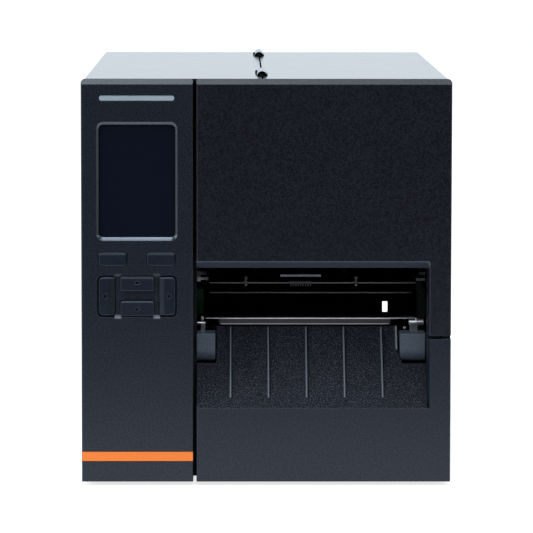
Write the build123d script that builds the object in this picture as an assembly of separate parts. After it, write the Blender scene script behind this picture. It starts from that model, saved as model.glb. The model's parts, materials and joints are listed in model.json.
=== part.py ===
from build123d import *
import os
from math import acos, atan2, cos, hypot, pi, radians, sin, tan

# Desktop label printer with a clamshell media cover, in millimetres.
# Working axes: x to the right, y from the front face to the back, z up from the case bottom.
# Every piece is moved once, in save(), to the part's own frame.

# Overall sizes
case_width = 248.0
case_depth = 436.0
case_height = 271.0
foot_height = 3.0

# Sheet metal covers and moulded fronts
sheet = 1.6
cover_inset = 1.4
bend_radius = 2.4
moulding_wall = 2.4
face_band = 4.5
edge_round = 1.2
corner_round = 3.0
gap_corner_round = 1.4
bevel_height = 3.6
bevel_depth = 4.0
hairline = 0.2
sliding_gap = 0.3
overrun = 1.0
panel_width = 74.9
panel_depth = 26.0
panel_gap = 2.2
cover_gap = 2.5

# Hinge of the media cover
hinge_offset = 121.3
hinge_radius = 3.4
hinge_pin_radius = 1.3
hinge_length = 52.0
hinge_knuckle = 13.0
hinge_knuckle_gap = 0.2
hinge_first = 41.0
hinge_back_margin = 26.0
hinge_leaf_fixed_width = 22.0
hinge_leaf_moving_width = 19.0
hinge_clearance = 0.5
cover_seam = 0.7
fixed_seam = 0.5
run_clearance = 0.05

# Middle frame between the electronics bay and the media bay
frame_offset = 0.9
frame_thickness = 3.0
frame_foot = 10.0
frame_foot_thickness = 2.0
frame_top_thickness = 3.0
bay_gap = 0.5

# Base pan, side panel and feet
pan_thickness = 2.0
pan_flange = 16.0
foot_radius = 9.0
foot_side_margin = 24.0
foot_front = 45.0
foot_back_margin = 41.0
side_panel_top = 96.5
side_lip_thickness = 1.4
side_lip_lap = 6.0
side_lip_rise = 4.0

# Control panel: screen, light bar and stripe
screen_left = 10.2
screen_right = 10.3
screen_gap = 14.1
screen_height = 79.8
screen_round = 4.7
screen_bevel_side = 2.45
screen_bevel_bottom = 3.45
screen_bevel_top = 2.9
screen_inner_round = 2.2
glass_lap = 3.0
glass_thickness = 1.6
display_margin = 3.6
display_thickness = 6.0
light_left = 12.2
light_right = 12.5
light_drop = 11.1
light_height = 3.4
light_round = 1.4
light_recess = 0.2
light_lip = 2.0
light_clearance = 0.1
light_thickness = 4.0
stripe_bottom = 14.0
stripe_height = 6.2
stripe_margin = 0.4
stripe_depth = 1.2

# Control panel: keys
soft_key_gap = 7.7
soft_key_margin = 11.9
soft_key_spacing = 13.7
soft_key_height = 8.9
soft_key_round = 2.0
key_gap = 0.3
key_lip = 1.2
key_travel = 0.8
key_back_gap = 0.1
key_proud = 0.3
pad_gap = 6.5
pad_margin = 10.55
pad_height = 28.2
pad_round = 3.8
pad_recess = 2.6
pad_floor = 2.4
pad_wall = 2.5
side_key_width = 10.5
side_key_end_margin = 1.35
side_key_margin = 1.5
side_key_round = 2.6
side_key_flat = 7.2
side_key_slope = 1.5
middle_key_gap = 3.85
middle_key_spacing = 7.0
middle_key_round = 1.2
middle_key_margin = 0.8
key_flange = 1.2
key_sink = 0.2
arrow_length = 2.2
arrow_width = 4.0
arrow_depth = 0.4
arrow_shift = 0.8
web_notch_width = 4.4
web_notch_height = 1.3
board_thickness = 1.6
keypad_post = 3.0
keypad_lap_low = 6.3
keypad_lap_high = 4.1
keypad_side_margin = 6.5
keypad_post_inset = 2.6

# Front opening, ramp and lower front panel
opening_top = 148.7
opening_right_leg = 14.1
opening_round = 4.0
opening_inner_round = 2.0
opening_bevel_top = 4.6
opening_bevel_side = 1.4
opening_bevel_depth = 5.0
fascia_depth = 22.0
ramp_bottom = 49.8
ramp_clearance = 1.0
ramp_lap = 2.6
ramp_thickness = 2.4
ramp_nose = 0.6
ramp_tongue = 2.4
ramp_tongue_drop = 3.8
ramp_rib_first = 23.3
ramp_rib_last = 30.7
ramp_rib_count = 5
ramp_rib_width = 1.2
ramp_rib_height = 1.4
ramp_rib_start = 7.8
ramp_rib_end = 44.0
column_depth = 42.0
gap_stop_width = 2.6
gap_stop_depth = 3.0

# Ramp cut-outs round the end blocks
left_notch_gap = 0.9
left_notch_drop = 0.4
right_notch_gap = 1.3
right_notch_drop = 0.6
right_notch_slant_height = 7.5
right_notch_slant_width = 2.9
ramp_rim_width = 2.0
ramp_rim_height = 0.9

# Platen, its end blocks and the tear bar
mech_margin = 16.9
platen_y = 57.0
platen_z = 98.5
platen_radius = 9.0
platen_start = 14.0
platen_end_gap = 7.0
platen_shaft_radius = 4.0
platen_shaft_end = 6.0
bearing_outer_radius = 8.0
bearing_seat_gap = 0.02
cap_depth = 21.4
cap_drop = 0.7
cap_height = 20.2
cap_round = 13.0
left_cap_start = 0.2
left_cap_width = 12.4
right_cap_lap = 2.2
right_cap_width = 16.9
tear_offset = 13.6
tear_thickness = 1.2
tear_rise = 8.4
tear_height = 5.5
tear_lip = 4.6
tear_lip_start = 5.8
tear_lip_reach = 8.1
tear_flange_start = 14.6
tear_flange_gap = 7.6
tear_flange_round = 2.6
tear_edge_round = 0.8
lug_depth = 4.1
lug_height = 11.7
left_lug_width = 6.5
right_lug_width = 10.0
stud_offset = 3.8
left_stud_start = 0.2
left_stud_length = 5.4
left_stud_radius = 1.2
left_stud_stem = 2.8
left_stud_stem_start = 4.2
left_stud_rise = 5.2
right_stud_start = 4.3
right_stud_length = 10.0
right_stud_radius = 2.1
right_stud_stem = 5.0
right_stud_stem_start = 7.5
right_stud_rise = 5.8

# Side brackets of the print mechanism
left_bracket_thickness = 2.5
right_bracket_thickness = 3.5
bracket_drop = 28.5
bracket_neck_offset = 7.0
bracket_shoulder_rise = 47.5
bracket_rise_offset = 24.0
bracket_crown_rise = 12.7
bracket_crown_half = 12.0
bracket_back_offset = 12.0
bracket_back_rise = 14.0
bracket_lower_back_offset = 10.0
bracket_foot_offset = 9.0
bracket_foot_width = 15.0
bracket_foot_thickness = 3.0
bracket_tab_depth = 6.0
bracket_tab_thickness = 1.8
left_tab_low_rise = 31.5
left_tab_low_reach = 7.9
left_tab_high_rise = 35.2
left_tab_high_reach = 6.4
right_tab_low_rise = 31.0
right_tab_high_rise = 35.2
right_tab_reach = 16.4
deck_gap = 2.5
deck_depth = 66.5
deck_drop = 0.5
deck_thickness = 2.4
deck_lip = 7.0
bridge_offset = 23.5
bridge_depth = 16.0
bridge_clearance = 5.0
bridge_height = 10.0
bridge_end_gap = 11.7
bridge_chamfer = 2.5
sensor_board_width = 4.6
sensor_board_rise = 8.5
sensor_board_height = 17.0
sensor_board_offset = 5.4

# Gear train on the electronics side of the frame
gear_module = 1.5
gear_pressure_angle = 25.0
gear_width = 7.0
gear_standoff = 1.0
gear_backlash = 0.16
gear_clearance = 0.1
gear_addendum_share = 1.0
gear_dedendum_share = 1.25
gear_flank_steps = 2
platen_teeth = 22
idler_teeth = 30
pinion_teeth = 14
idler_direction = -50.0
pinion_direction = -20.0
idler_axle_radius = 3.0
idler_axle_end = 1.0
pinion_shaft_radius = 2.5
motor_side = 56.4
motor_length = 50.0
motor_corner = 4.0
motor_pilot_radius = 19.0
motor_pilot_height = 1.6
motor_plate = 2.4
motor_plate_gap = 6.5
motor_shaft_reach = 8.0
motor_plate_margin = 2.4

# Print head and its pressure lever
pivot_offset = 121.0
pivot_rise = 29.5
pivot_radius = 3.0
ear_radius = 7.0
ear_width = 5.7
carriage_start = 8.3
carriage_end_gap = 5.0
carriage_front_offset = 3.0
carriage_back_gap = 6.0
carriage_rise = 22.5
carriage_height = 10.0
carriage_floor = 3.0
carriage_wall = 4.0
carriage_pockets = 4
head_start = 16.0
head_end_gap = 15.0
head_front_offset = 7.0
head_back_offset = 19.0
head_nose_half = 2.0
head_nip = 0.3
head_front_rise = 13.5
head_back_rise = 14.5
head_top_rise = 19.5
bar_offset = 13.0
bar_low_rise = 24.9
bar_face = 6.8
bar_shelf_depth = 4.0
bar_sheet = 1.6
bar_under_depth = 3.0
bar_reach = 9.4
grip_start = 57.0
grip_width = 27.5
grip_rise = 5.2
grip_depth = 2.2
grip_root = 0.8
grip_pitch = 1.35
grip_tooth = 0.5
grip_tooth_height = 1.8
pad_spacing = 50.0
pad_length = 12.0
pad_offset = 6.0
pad_depth = 14.0
pad_rise = 10.0
lever_offset = 28.0
lever_shaft_radius = 4.0
cam_reach = 22.0
cam_tip_radius = 4.0
cam_hub_radius = 8.0
cam_width = 8.0
cam_lean = 35.0
cam_gap = 0.3
lever_gap = 0.6
lever_thickness = 6.0
lever_headroom = 44.4
lever_hub_radius = 9.0
lever_grip_radius = 6.5
lever_grip_width = 11.0
lever_lean = 80.0

# Ribbon spindles
spindle_drop = 57.4
takeup_y = 88.0
supply_y = 196.0
spindle_shaft_radius = 4.0
spindle_core_radius = 10.5
spindle_rib_radius = 12.6
spindle_rib_width = 5.0
spindle_rib_count = 3
spindle_flange_radius = 24.0
spindle_flange_thickness = 2.4
spindle_end_gap = 23.0
spindle_cap_radius = 12.0
spindle_cap_thickness = 4.0
spindle_gap = 1.0
hub_radius = 15.0
hub_length = 12.0

# Media holder, media guide, web damper and edge guide
media_y = 310.0
media_z = 165.0
media_bar_radius = 9.0
media_bar_gap = 8.0
media_bar_flat = 6.0
media_flange_radius = 16.0
media_flange_thickness = 4.0
guide_gap = 20.0
guide_thickness = 3.0
guide_hub_radius = 15.0
guide_hub_length = 12.0
guide_drop = 62.0
guide_rise = 34.0
guide_half_width = 22.0
guide_clearance = 0.15
damper_y = 236.0
damper_z = 70.0
damper_pin_radius = 3.0
damper_boss_radius = 7.0
damper_boss_length = 8.0
damper_arm_thickness = 4.0
damper_arm_start = 4.0
damper_arm_half = 6.0
damper_roller_reach = 30.0
damper_roller_rise = 14.0
damper_roller_radius = 5.5
damper_roller_gap = 18.0
edge_guide_gap = 22.0
edge_guide_length = 10.0
edge_guide_inset = 24.0
edge_guide_depth = 18.0
edge_guide_height = 8.0
edge_guide_slot = 3.0
edge_guide_key = 2.4
edge_guide_slot_start = 40.0
edge_guide_slot_end = 16.0

# Electronics bay
psu_left_margin = 5.0
psu_width = 50.0
psu_front = 190.0
psu_end_gap = 11.0
psu_height = 43.0
board_front = 215.0
board_headroom = 34.4
board_height = 140.0
board_end_gap = 8.0
board_standoff = 10.4
board_post = 3.5
hexagon = 6
board_post_inset = 9.0
heatsink_inset = 35.0
heatsink_rise = 55.0
heatsink_side = 44.0
heatsink_height = 12.0
heatsink_fins = 7
heatsink_fin_depth = 8.0
port_depth = 20.0
port_sink = 0.2
port_gap = 0.3
port_height = 13.4
lan_rise = 105.0
lan_width = 16.0
lan_jack_width = 12.0
lan_jack_height = 8.4
lan_jack_depth = 12.0
host_rise = 77.0
host_width = 14.4
host_slot_width = 12.2
host_slot_height = 5.0
host_slot_depth = 10.0
device_rise = 55.0
device_width = 12.0
device_slot_width = 8.6
device_slot_depth = 9.0
serial_rise = 13.0
serial_width = 31.0
serial_shell_width = 17.0
serial_shell_height = 8.6
serial_depth = 6.0

# Power inlet with its switch
inlet_x = 32.0
inlet_width = 27.0
inlet_bottom = 19.0
inlet_height = 47.0
inlet_depth = 30.0
socket_width = 23.0
socket_height = 15.6
socket_bottom = 5.0
socket_depth = 17.0
socket_corner = 4.0
pin_length = 12.0
pin_width = 2.0
pin_height = 4.0
pin_pitch = 7.0
pin_raise = 4.0
rocker_centre = 34.0
rocker_width = 18.0
rocker_half_height = 6.2
rocker_window_half = 7.6
rocker_reach = 7.2
rocker_waist = 5.8
rocker_root = 4.0
rocker_pivot = 8.0
rocker_pin_radius = 1.5
rocker_pin_length = 1.4
rocker_tilt = 8.0
rocker_pocket = 14.0

# Rear panel and vents
slot_bottom = 67.6
slot_height = 8.3
slot_start = 7.0
slot_reach = 5.6
slot_round = 0.8
vent_count = 9
vent_pitch = 6.0
vent_width = 2.6
vent_length = 44.0
rear_vent_left = 10.0
rear_vent_drop = 46.0
rear_vent_pitch = 4.8
rear_vent_count = 7
side_vent_back_margin = 136.0
side_vent_drop = 121.0

# Window in the cover's side
window_front = 70.0
window_back_margin = 96.0
window_bottom = 140.0
window_top_margin = 42.0
window_round = 9.0
window_lap = 7.0
window_thickness = 2.0
hem = 11.0

# Datums that follow from the sizes above
left = -case_width / 2
right = case_width / 2
top = case_height
sheet_left = left + cover_inset
sheet_right = right - cover_inset
inner_left = sheet_left + sheet
inner_right = sheet_right - sheet
inner_top = top - sheet
cover_front = face_band + hairline
rear_inner = case_depth - sheet
cover_back = rear_inner - hairline
panel_right = left + panel_width
bay_left = panel_right + panel_gap
bay_start = panel_depth + bay_gap
frame_left = panel_right - frame_offset
frame_right = frame_left + frame_thickness
hinge_x = left + hinge_offset
hinge_z = top
leaf_bottom = hinge_z - hinge_radius
ramp_right = right - opening_right_leg
mouth_right = ramp_right - opening_bevel_side
leg_bottom = side_panel_top + cover_gap
bracket_inner_left = frame_right + left_bracket_thickness
bracket_inner_right = ramp_right - mech_margin
bracket_outer_right = bracket_inner_right + right_bracket_thickness
gear_right = frame_left - gear_standoff
gear_left = gear_right - gear_width

# Side-view datums of the print mechanism, all from the axis of the platen
tear_y = platen_y - tear_offset
tear_top = platen_z + tear_rise
tear_bottom = tear_top - tear_height
lip_bottom = tear_top - tear_thickness
ramp_top = tear_bottom - ramp_clearance
ramp_run = tear_y + ramp_lap
cap_top = platen_z - cap_drop
cap_bottom = cap_top - cap_height
pivot_y = platen_y + pivot_offset
pivot_z = platen_z + pivot_rise
carriage_front = platen_y + carriage_front_offset
carriage_bottom = platen_z + carriage_rise
carriage_top = carriage_bottom + carriage_height
head_back = platen_y + head_back_offset
bar_front = platen_y - bar_offset
bar_line_low = platen_z + bar_low_rise
bar_line_high = bar_line_low + bar_face
deck_top = platen_z - deck_drop
deck_front = platen_y + platen_radius + deck_gap
deck_back = deck_front + deck_depth
lever_y = pivot_y - lever_offset
pad_top = carriage_top + pad_rise
lever_z = pad_top + cam_gap + cam_tip_radius + cam_reach * cos(radians(cam_lean))
spindle_z = inner_top - spindle_drop

os.makedirs("parts", exist_ok=True)


def save(name, *solids):
    """Write one piece, moved to the part's frame: origin under the middle of the case."""
    place = Pos(0, -case_depth / 2, foot_height)
    moved = [place * solid for solid in solids]
    export_step(moved[0] if len(moved) == 1 else Compound(children=moved), f"parts/{name}.step")


def block(x0, x1, y0, y1, z0, z1):
    return Pos((x0 + x1) / 2, (y0 + y1) / 2, (z0 + z1) / 2) * Box(x1 - x0, y1 - y0, z1 - z0)


def rod_x(x0, x1, y, z, radius):
    return Pos((x0 + x1) / 2, y, z) * (Rot(0, 90, 0) * Cylinder(radius, x1 - x0))


def rod_y(y0, y1, x, z, radius):
    return Pos(x, (y0 + y1) / 2, z) * (Rot(90, 0, 0) * Cylinder(radius, y1 - y0))


def rod_z(z0, z1, x, y, radius):
    return Pos(x, y, (z0 + z1) / 2) * Cylinder(radius, z1 - z0)


def slab_x(points, x0, x1):
    """Side-view outline of (y, z) points, extruded across the width."""
    return extrude(Plane.YZ.offset(x0) * make_face(Polyline(*points, close=True)), x1 - x0)


def slab_y(points, y0, y1):
    """Front-view outline of (x, z) points, extruded along the depth."""
    return extrude(Plane.XZ.offset(-y1) * make_face(Polyline(*points, close=True)), y1 - y0)


def slab_z(points, z0, z1):
    """Top-view outline of (x, y) points, extruded upwards."""
    return extrude(Plane.XY.offset(z0) * make_face(Polyline(*points, close=True)), z1 - z0)


def front_face(x0, x1, z0, z1, radius, y):
    """Rounded rectangle in the front view, at depth y."""
    outline = Pos((x0 + x1) / 2, (z0 + z1) / 2) * RectangleRounded(x1 - x0, z1 - z0, radius)
    return Plane.XZ.offset(-y) * outline


def pad_y(x0, x1, z0, z1, radius, y0, y1):
    return extrude(front_face(x0, x1, z0, z1, radius, y1), y1 - y0)


def pad_x(y0, y1, z0, z1, radius, x0, x1):
    """Rounded rectangle in the side view, extruded across the width."""
    outline = Pos((y0 + y1) / 2, (z0 + z1) / 2) * RectangleRounded(y1 - y0, z1 - z0, radius)
    return extrude(Plane.YZ.offset(x0) * outline, x1 - x0)


def pad_z(x0, x1, y0, y1, radius, z0, z1):
    """Rounded rectangle in the top view, extruded upwards."""
    outline = Pos((x0 + x1) / 2, (y0 + y1) / 2) * RectangleRounded(x1 - x0, y1 - y0, radius)
    return extrude(Plane.XY.offset(z0) * outline, z1 - z0)


def beveled_band(x0, x1, z0):
    """Front band of a moulding, full outline, with the bevel along the top of the case."""
    return slab_x(
        [(0, z0), (face_band, z0), (face_band, top), (bevel_depth, top), (0, top - bevel_height)], x0, x1
    )


def round_top(shape, x0, x1, left_round, right_round):
    """Round the upper corners of a moulding between x0 and x1, as seen from the front."""
    for low, high, radius in ((x0, x1 + left_round, left_round), (x0 - right_round, x1, right_round)):
        shape &= pad_y(low, high, -radius, top, radius, -overrun, panel_depth + overrun)
    return shape


def edges_at(shape, axis, x=None, y=None, z=None):
    """Straight edges along one axis whose middle lies at the given coordinates."""
    found = []
    for edge in shape.edges().filter_by(axis):
        c = edge.center()
        wanted = ((x, c.X), (y, c.Y), (z, c.Z))
        if all(want is None or abs(want - have) < hairline / 2 for want, have in wanted):
            found.append(edge)
    return found


# Feet
feet = []
for foot_x in (left + foot_side_margin, right - foot_side_margin):
    for foot_y in (foot_front, case_depth - foot_back_margin):
        feet.append(rod_z(-foot_height, 0, foot_x, foot_y, foot_radius))
save("feet", *feet)

# Base pan: a folded tray behind the two front mouldings
base_pan = block(inner_left, inner_right, bay_start, rear_inner, 0, pan_flange)
base_pan -= block(
    inner_left + pan_thickness, inner_right - pan_thickness, bay_start - overrun, rear_inner - pan_thickness,
    pan_thickness, pan_flange + overrun,
)
save("base_pan", base_pan)

# Places of the gear train, seen from the side: platen, idler and pinion centres
pitch_platen = gear_module * platen_teeth / 2
pitch_idler = gear_module * idler_teeth / 2
pitch_pinion = gear_module * pinion_teeth / 2
idler_distance = pitch_platen + pitch_idler + gear_clearance
pinion_distance = pitch_idler + pitch_pinion + gear_clearance
idler_y = platen_y + idler_distance * cos(radians(idler_direction))
idler_z = platen_z + idler_distance * sin(radians(idler_direction))
pinion_y = idler_y + pinion_distance * cos(radians(pinion_direction))
pinion_z = idler_z + pinion_distance * sin(radians(pinion_direction))

# Middle frame: upright wall with foot and top flanges, bearing bosses, posts and pins
board_right = frame_left - board_standoff
board_left = board_right - board_thickness
board_back = rear_inner - board_end_gap
board_top = inner_top - board_headroom
board_bottom = board_top - board_height
frame_back = rear_inner - pan_thickness
frame = block(frame_left, frame_right, bay_start, frame_back, pan_thickness, leaf_bottom)
frame += block(
    frame_left - frame_foot, frame_left, bay_start, frame_back, pan_thickness,
    pan_thickness + frame_foot_thickness,
)
frame += block(
    frame_right, hinge_x - hinge_radius - sliding_gap, bay_start, frame_back,
    leaf_bottom - frame_top_thickness, leaf_bottom,
)
for hub_y in (takeup_y, supply_y):
    frame += rod_x(frame_left - hub_length, frame_left, hub_y, spindle_z, hub_radius)
    frame -= rod_x(
        frame_left - hub_length - overrun, frame_right + overrun, hub_y, spindle_z,
        spindle_shaft_radius + run_clearance,
    )
frame += rod_x(gear_left - idler_axle_end, frame_left, idler_y, idler_z, idler_axle_radius)
frame += rod_x(frame_left - damper_boss_length, frame_left, damper_y, damper_z, damper_boss_radius)
frame -= rod_x(
    frame_left - damper_boss_length - overrun, frame_right + overrun, damper_y, damper_z,
    damper_pin_radius + run_clearance,
)
for post_y in (board_front + board_post_inset, board_back - board_post_inset):
    for post_z in (board_bottom + board_post_inset, board_top - board_post_inset):
        standoff = extrude(RegularPolygon(board_post, side_count=hexagon), board_standoff)
        frame += Pos(board_right, post_y, post_z) * (Rot(0, 90, 0) * standoff)
frame -= rod_x(
    frame_left - overrun, frame_right + overrun, platen_y, platen_z, bearing_outer_radius + bearing_seat_gap
)
frame -= rod_x(
    frame_left - overrun, frame_right + overrun, lever_y, lever_z, lever_shaft_radius + run_clearance
)
save("mid_frame", frame)

# Left cover: folded sheet over the electronics bay, notched for the hinge barrels
fixed_edge = hinge_x - fixed_seam
left_cover = block(sheet_left, fixed_edge, cover_front, cover_back, 0, top)
left_cover = fillet(edges_at(left_cover, Axis.Y, x=sheet_left, z=top), bend_radius)
hollow = block(
    inner_left, fixed_edge + overrun, cover_front - overrun, cover_back + overrun, -overrun, inner_top
)
hollow = fillet(edges_at(hollow, Axis.Y, x=inner_left, z=inner_top), bend_radius - sheet)
left_cover -= hollow
hinge_starts = [hinge_first, case_depth - hinge_back_margin - hinge_length]
for start in hinge_starts:
    left_cover -= block(
        hinge_x - hinge_radius - hinge_clearance, fixed_edge + overrun, start - hinge_clearance,
        start + hinge_length + hinge_clearance, inner_top - overrun, top + overrun,
    )
for index in range(vent_count):
    vent_y = case_depth - side_vent_back_margin + index * vent_pitch
    left_cover -= block(
        sheet_left - overrun, inner_left + overrun, vent_y, vent_y + vent_width, top - side_vent_drop,
        top - side_vent_drop + vent_length,
    )
save("left_cover", left_cover)

# Lower side panel on the media side, with a lip inside the closed cover
side_panel = block(inner_right, sheet_right, cover_front, cover_back, 0, side_panel_top)
lip_outer = inner_right - sliding_gap
lip_inner = lip_outer - side_lip_thickness
lip_top = leg_bottom + side_lip_rise
side_panel += slab_y(
    [
        (inner_right, side_panel_top - side_lip_lap), (lip_inner, side_panel_top - side_lip_lap),
        (lip_inner, lip_top), (lip_outer, lip_top), (lip_outer, side_panel_top),
        (inner_right, side_panel_top),
    ],
    column_depth + sliding_gap, cover_back - sheet - sliding_gap,
)
save("base_side_panel", side_panel)

# Hinge: knuckles on the fixed and the moving leaf, one pin each
fixed_leaves, moving_leaves, pins = [], [], []
for start in hinge_starts:
    end = start + hinge_length
    fixed = block(
        hinge_x - hinge_radius - hinge_clearance - hinge_leaf_fixed_width,
        hinge_x - hinge_radius - sliding_gap, start, end, leaf_bottom, inner_top,
    )
    for k0, k1 in ((start, start + hinge_knuckle), (end - hinge_knuckle, end)):
        fixed += block(hinge_x - hinge_radius - sliding_gap, hinge_x, k0, k1, leaf_bottom, inner_top)
        fixed += rod_y(k0, k1, hinge_x, hinge_z, hinge_radius)
    moving_edge = hinge_x + hinge_radius + hinge_clearance
    moving = block(
        moving_edge, moving_edge + hinge_leaf_moving_width, start, end, leaf_bottom, inner_top
    )
    m0 = start + hinge_knuckle + hinge_knuckle_gap
    m1 = end - hinge_knuckle - hinge_knuckle_gap
    moving += block(hinge_x, moving_edge, m0, m1, leaf_bottom, inner_top)
    moving += rod_y(m0, m1, hinge_x, hinge_z, hinge_radius)
    bore = rod_y(start - overrun, end + overrun, hinge_x, hinge_z, hinge_pin_radius + run_clearance)
    fixed_leaves.append(fixed - bore)
    moving_leaves.append(moving - bore)
    pins.append(rod_y(start, end, hinge_x, hinge_z, hinge_pin_radius))
save("hinge_leaves_fixed", *fixed_leaves)
save("hinge_leaves_cover", *moving_leaves)
save("hinge_pins", *pins)

# Media cover shell: folded top and side with a window, notched for the hinge barrels
cover_edge = hinge_x + cover_seam
shell = block(cover_edge, sheet_right, cover_front, cover_back, leg_bottom, top)
shell = fillet(edges_at(shell, Axis.Y, x=sheet_right, z=top), bend_radius)
hollow = block(
    cover_edge - overrun, inner_right, cover_front - overrun, cover_back - sheet, leg_bottom - overrun,
    inner_top,
)
hollow = fillet(edges_at(hollow, Axis.Y, x=inner_right, z=inner_top), bend_radius - sheet)
shell -= hollow
shell -= block(
    cover_edge - overrun, inner_right - hem, cover_back - sheet - overrun, cover_back + overrun,
    leg_bottom - overrun, inner_top - hem,
)
for start in hinge_starts:
    shell -= block(
        cover_edge - overrun, hinge_x + hinge_radius + hinge_clearance, start - hinge_clearance,
        start + hinge_length + hinge_clearance, inner_top - overrun, top + overrun,
    )
window_back = case_depth - window_back_margin
window_top = top - window_top_margin
shell -= pad_x(
    window_front, window_back, window_bottom, window_top, window_round, inner_right - overrun,
    sheet_right + overrun,
)
save("cover_shell", shell)
window = pad_x(
    window_front - window_lap, window_back + window_lap, window_bottom - window_lap, window_top + window_lap,
    window_round + window_lap, inner_right - window_thickness, inner_right,
)
window += pad_x(
    window_front + hairline, window_back - hairline, window_bottom + hairline, window_top - hairline,
    window_round - hairline, inner_right, sheet_right - hairline,
)
save("cover_window", window)

# Cover fascia: front moulding of the cover with the bevelled label opening
fascia = beveled_band(bay_left, right, leg_bottom)
fascia_corners = edges_at(fascia, Axis.Z, x=right, y=0) + edges_at(fascia, Axis.Z, x=bay_left, y=0)
fascia = fillet(fascia_corners, edge_round)
fascia = round_top(fascia, bay_left, right, gap_corner_round, corner_round)
fascia_rim = block(bay_left, inner_right, face_band, fascia_depth, leg_bottom, inner_top)
fascia += fillet(edges_at(fascia_rim, Axis.Y, x=inner_right, z=inner_top), bend_radius - sheet)
wall = moulding_wall
bevel_foot = opening_top - opening_bevel_top
fascia -= block(
    bay_left + wall, inner_right - wall, wall, fascia_depth + overrun, opening_top + wall, inner_top - wall
)
fascia -= block(
    bay_left + wall, inner_right - wall, opening_bevel_depth + wall, fascia_depth + overrun,
    bevel_foot + wall, opening_top + wall,
)
fascia -= block(
    ramp_right + wall, inner_right - wall, wall, fascia_depth + overrun, leg_bottom + wall,
    opening_top + wall,
)
mouth_left = bay_left - overrun
mouth_low = leg_bottom - overrun
outer_mouth = front_face(
    mouth_left - opening_round, ramp_right, mouth_low - opening_round, opening_top, opening_round, 0
)
inner_mouth = front_face(
    mouth_left - opening_round, mouth_right, mouth_low - opening_round, bevel_foot, opening_inner_round,
    opening_bevel_depth,
)
fascia -= loft([outer_mouth, inner_mouth], ruled=True)
fascia -= extrude(inner_mouth, -(fascia_depth + overrun - opening_bevel_depth))
save("cover_fascia", fascia)

# Control panel moulding
panel = beveled_band(left, panel_right, 0)
panel = fillet(edges_at(panel, Axis.Z, x=left, y=0) + edges_at(panel, Axis.Z, x=panel_right, y=0), edge_round)
panel = round_top(panel, left, panel_right, corner_round, gap_corner_round)
panel_rim = block(inner_left, panel_right, face_band, panel_depth, 0, inner_top)
panel += fillet(edges_at(panel_rim, Axis.Y, x=inner_left, z=inner_top), bend_radius - sheet)
panel -= block(
    inner_left + wall, panel_right - wall, wall, panel_depth + overrun, wall, inner_top - wall
)

# Screen recess with its bevelled frame, glass and display behind
bar_top = top - light_drop
light_bottom = bar_top - light_height
recess_left = left + screen_left
recess_right = panel_right - screen_right
recess_top = light_bottom - screen_gap
screen_bottom = recess_top - screen_height
glass_left = recess_left + screen_bevel_side
glass_right = recess_right - screen_bevel_side
glass_bottom = screen_bottom + screen_bevel_bottom
glass_top = recess_top - screen_bevel_top
panel -= loft(
    [
        front_face(recess_left, recess_right, screen_bottom, recess_top, screen_round, 0),
        front_face(glass_left, glass_right, glass_bottom, glass_top, screen_inner_round, wall),
    ],
    ruled=True,
)
glass_back = wall + glass_thickness
glass = block(
    glass_left - glass_lap, glass_right + glass_lap, wall, glass_back, glass_bottom - glass_lap,
    glass_top + glass_lap,
)
save("screen_glass", glass)
display = block(
    glass_left - display_margin, glass_right + display_margin, glass_back, glass_back + display_thickness,
    glass_bottom - glass_lap, glass_top + display_margin,
)
save("display_module", display)

# Status light bar in its slot
bar_left = left + light_left
bar_right = panel_right - light_right
panel -= pad_y(
    bar_left - light_clearance, bar_right + light_clearance, light_bottom - light_clearance,
    bar_top + light_clearance, light_round + light_clearance, -overrun, wall + overrun,
)
light = pad_y(bar_left, bar_right, light_bottom, bar_top, light_round, light_recess, wall)
light += block(
    bar_left - light_lip, bar_right + light_lip, wall, light_thickness, light_bottom - light_lip,
    bar_top + light_lip,
)
save("status_light", light)

# Accent stripe in a shallow groove
stripe_top = stripe_bottom + stripe_height
panel -= block(
    left - overrun, panel_right + overrun, -overrun, stripe_depth, stripe_bottom - stripe_margin,
    stripe_top + stripe_margin,
)
stripe = block(left + hairline, panel_right - hairline, 0, stripe_depth, stripe_bottom, stripe_top)
save("accent_stripe", stripe)

# Keypad: tub with a floor, a hole for each key, posts for the board
panel_middle = (left + panel_right) / 2
pad_left = left + pad_margin
pad_right = panel_right - pad_margin
soft_z1 = screen_bottom - soft_key_gap
soft_z0 = soft_z1 - soft_key_height
tub_top = soft_z0 - pad_gap
pad_bottom = tub_top - pad_height
floor_back = pad_recess + pad_floor
panel += block(
    pad_left - pad_wall, pad_right + pad_wall, wall, floor_back, pad_bottom - pad_wall, tub_top + pad_wall
)
panel -= pad_y(pad_left, pad_right, pad_bottom, tub_top, pad_round, -overrun, pad_recess)
flange_front = floor_back + sliding_gap
flange_back = flange_front + key_flange
keypad_front = flange_back + key_travel + key_back_gap
pad_middle_z = (pad_bottom + tub_top) / 2


def arrow(x, z, direction, y):
    """Shallow triangular mark, its point in one of the four directions in the front view."""
    along, across = arrow_length / 2, arrow_width / 2
    dx, dz = direction
    points = [
        (x + dx * along, z + dz * along),
        (x - dx * along - dz * across, z - dz * along + dx * across),
        (x - dx * along + dz * across, z - dz * along - dx * across),
    ]
    return slab_y(points, y - overrun, y + arrow_depth)


def make_key(x0, x1, z0, z1, radius, y0, flange_y):
    """Key cap that passes through its hole, with a retaining flange behind."""
    cap = pad_y(x0, x1, z0, z1, radius, y0, flange_y)
    flange = block(x0 - key_lip, x1 + key_lip, flange_y, flange_back, z0 - key_lip, z1 + key_lip)
    return cap + flange


def key_hole(x0, x1, z0, z1, radius):
    return pad_y(
        x0 - key_gap, x1 + key_gap, z0 - key_gap, z1 + key_gap, radius + key_gap, -overrun,
        floor_back + overrun,
    )


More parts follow.
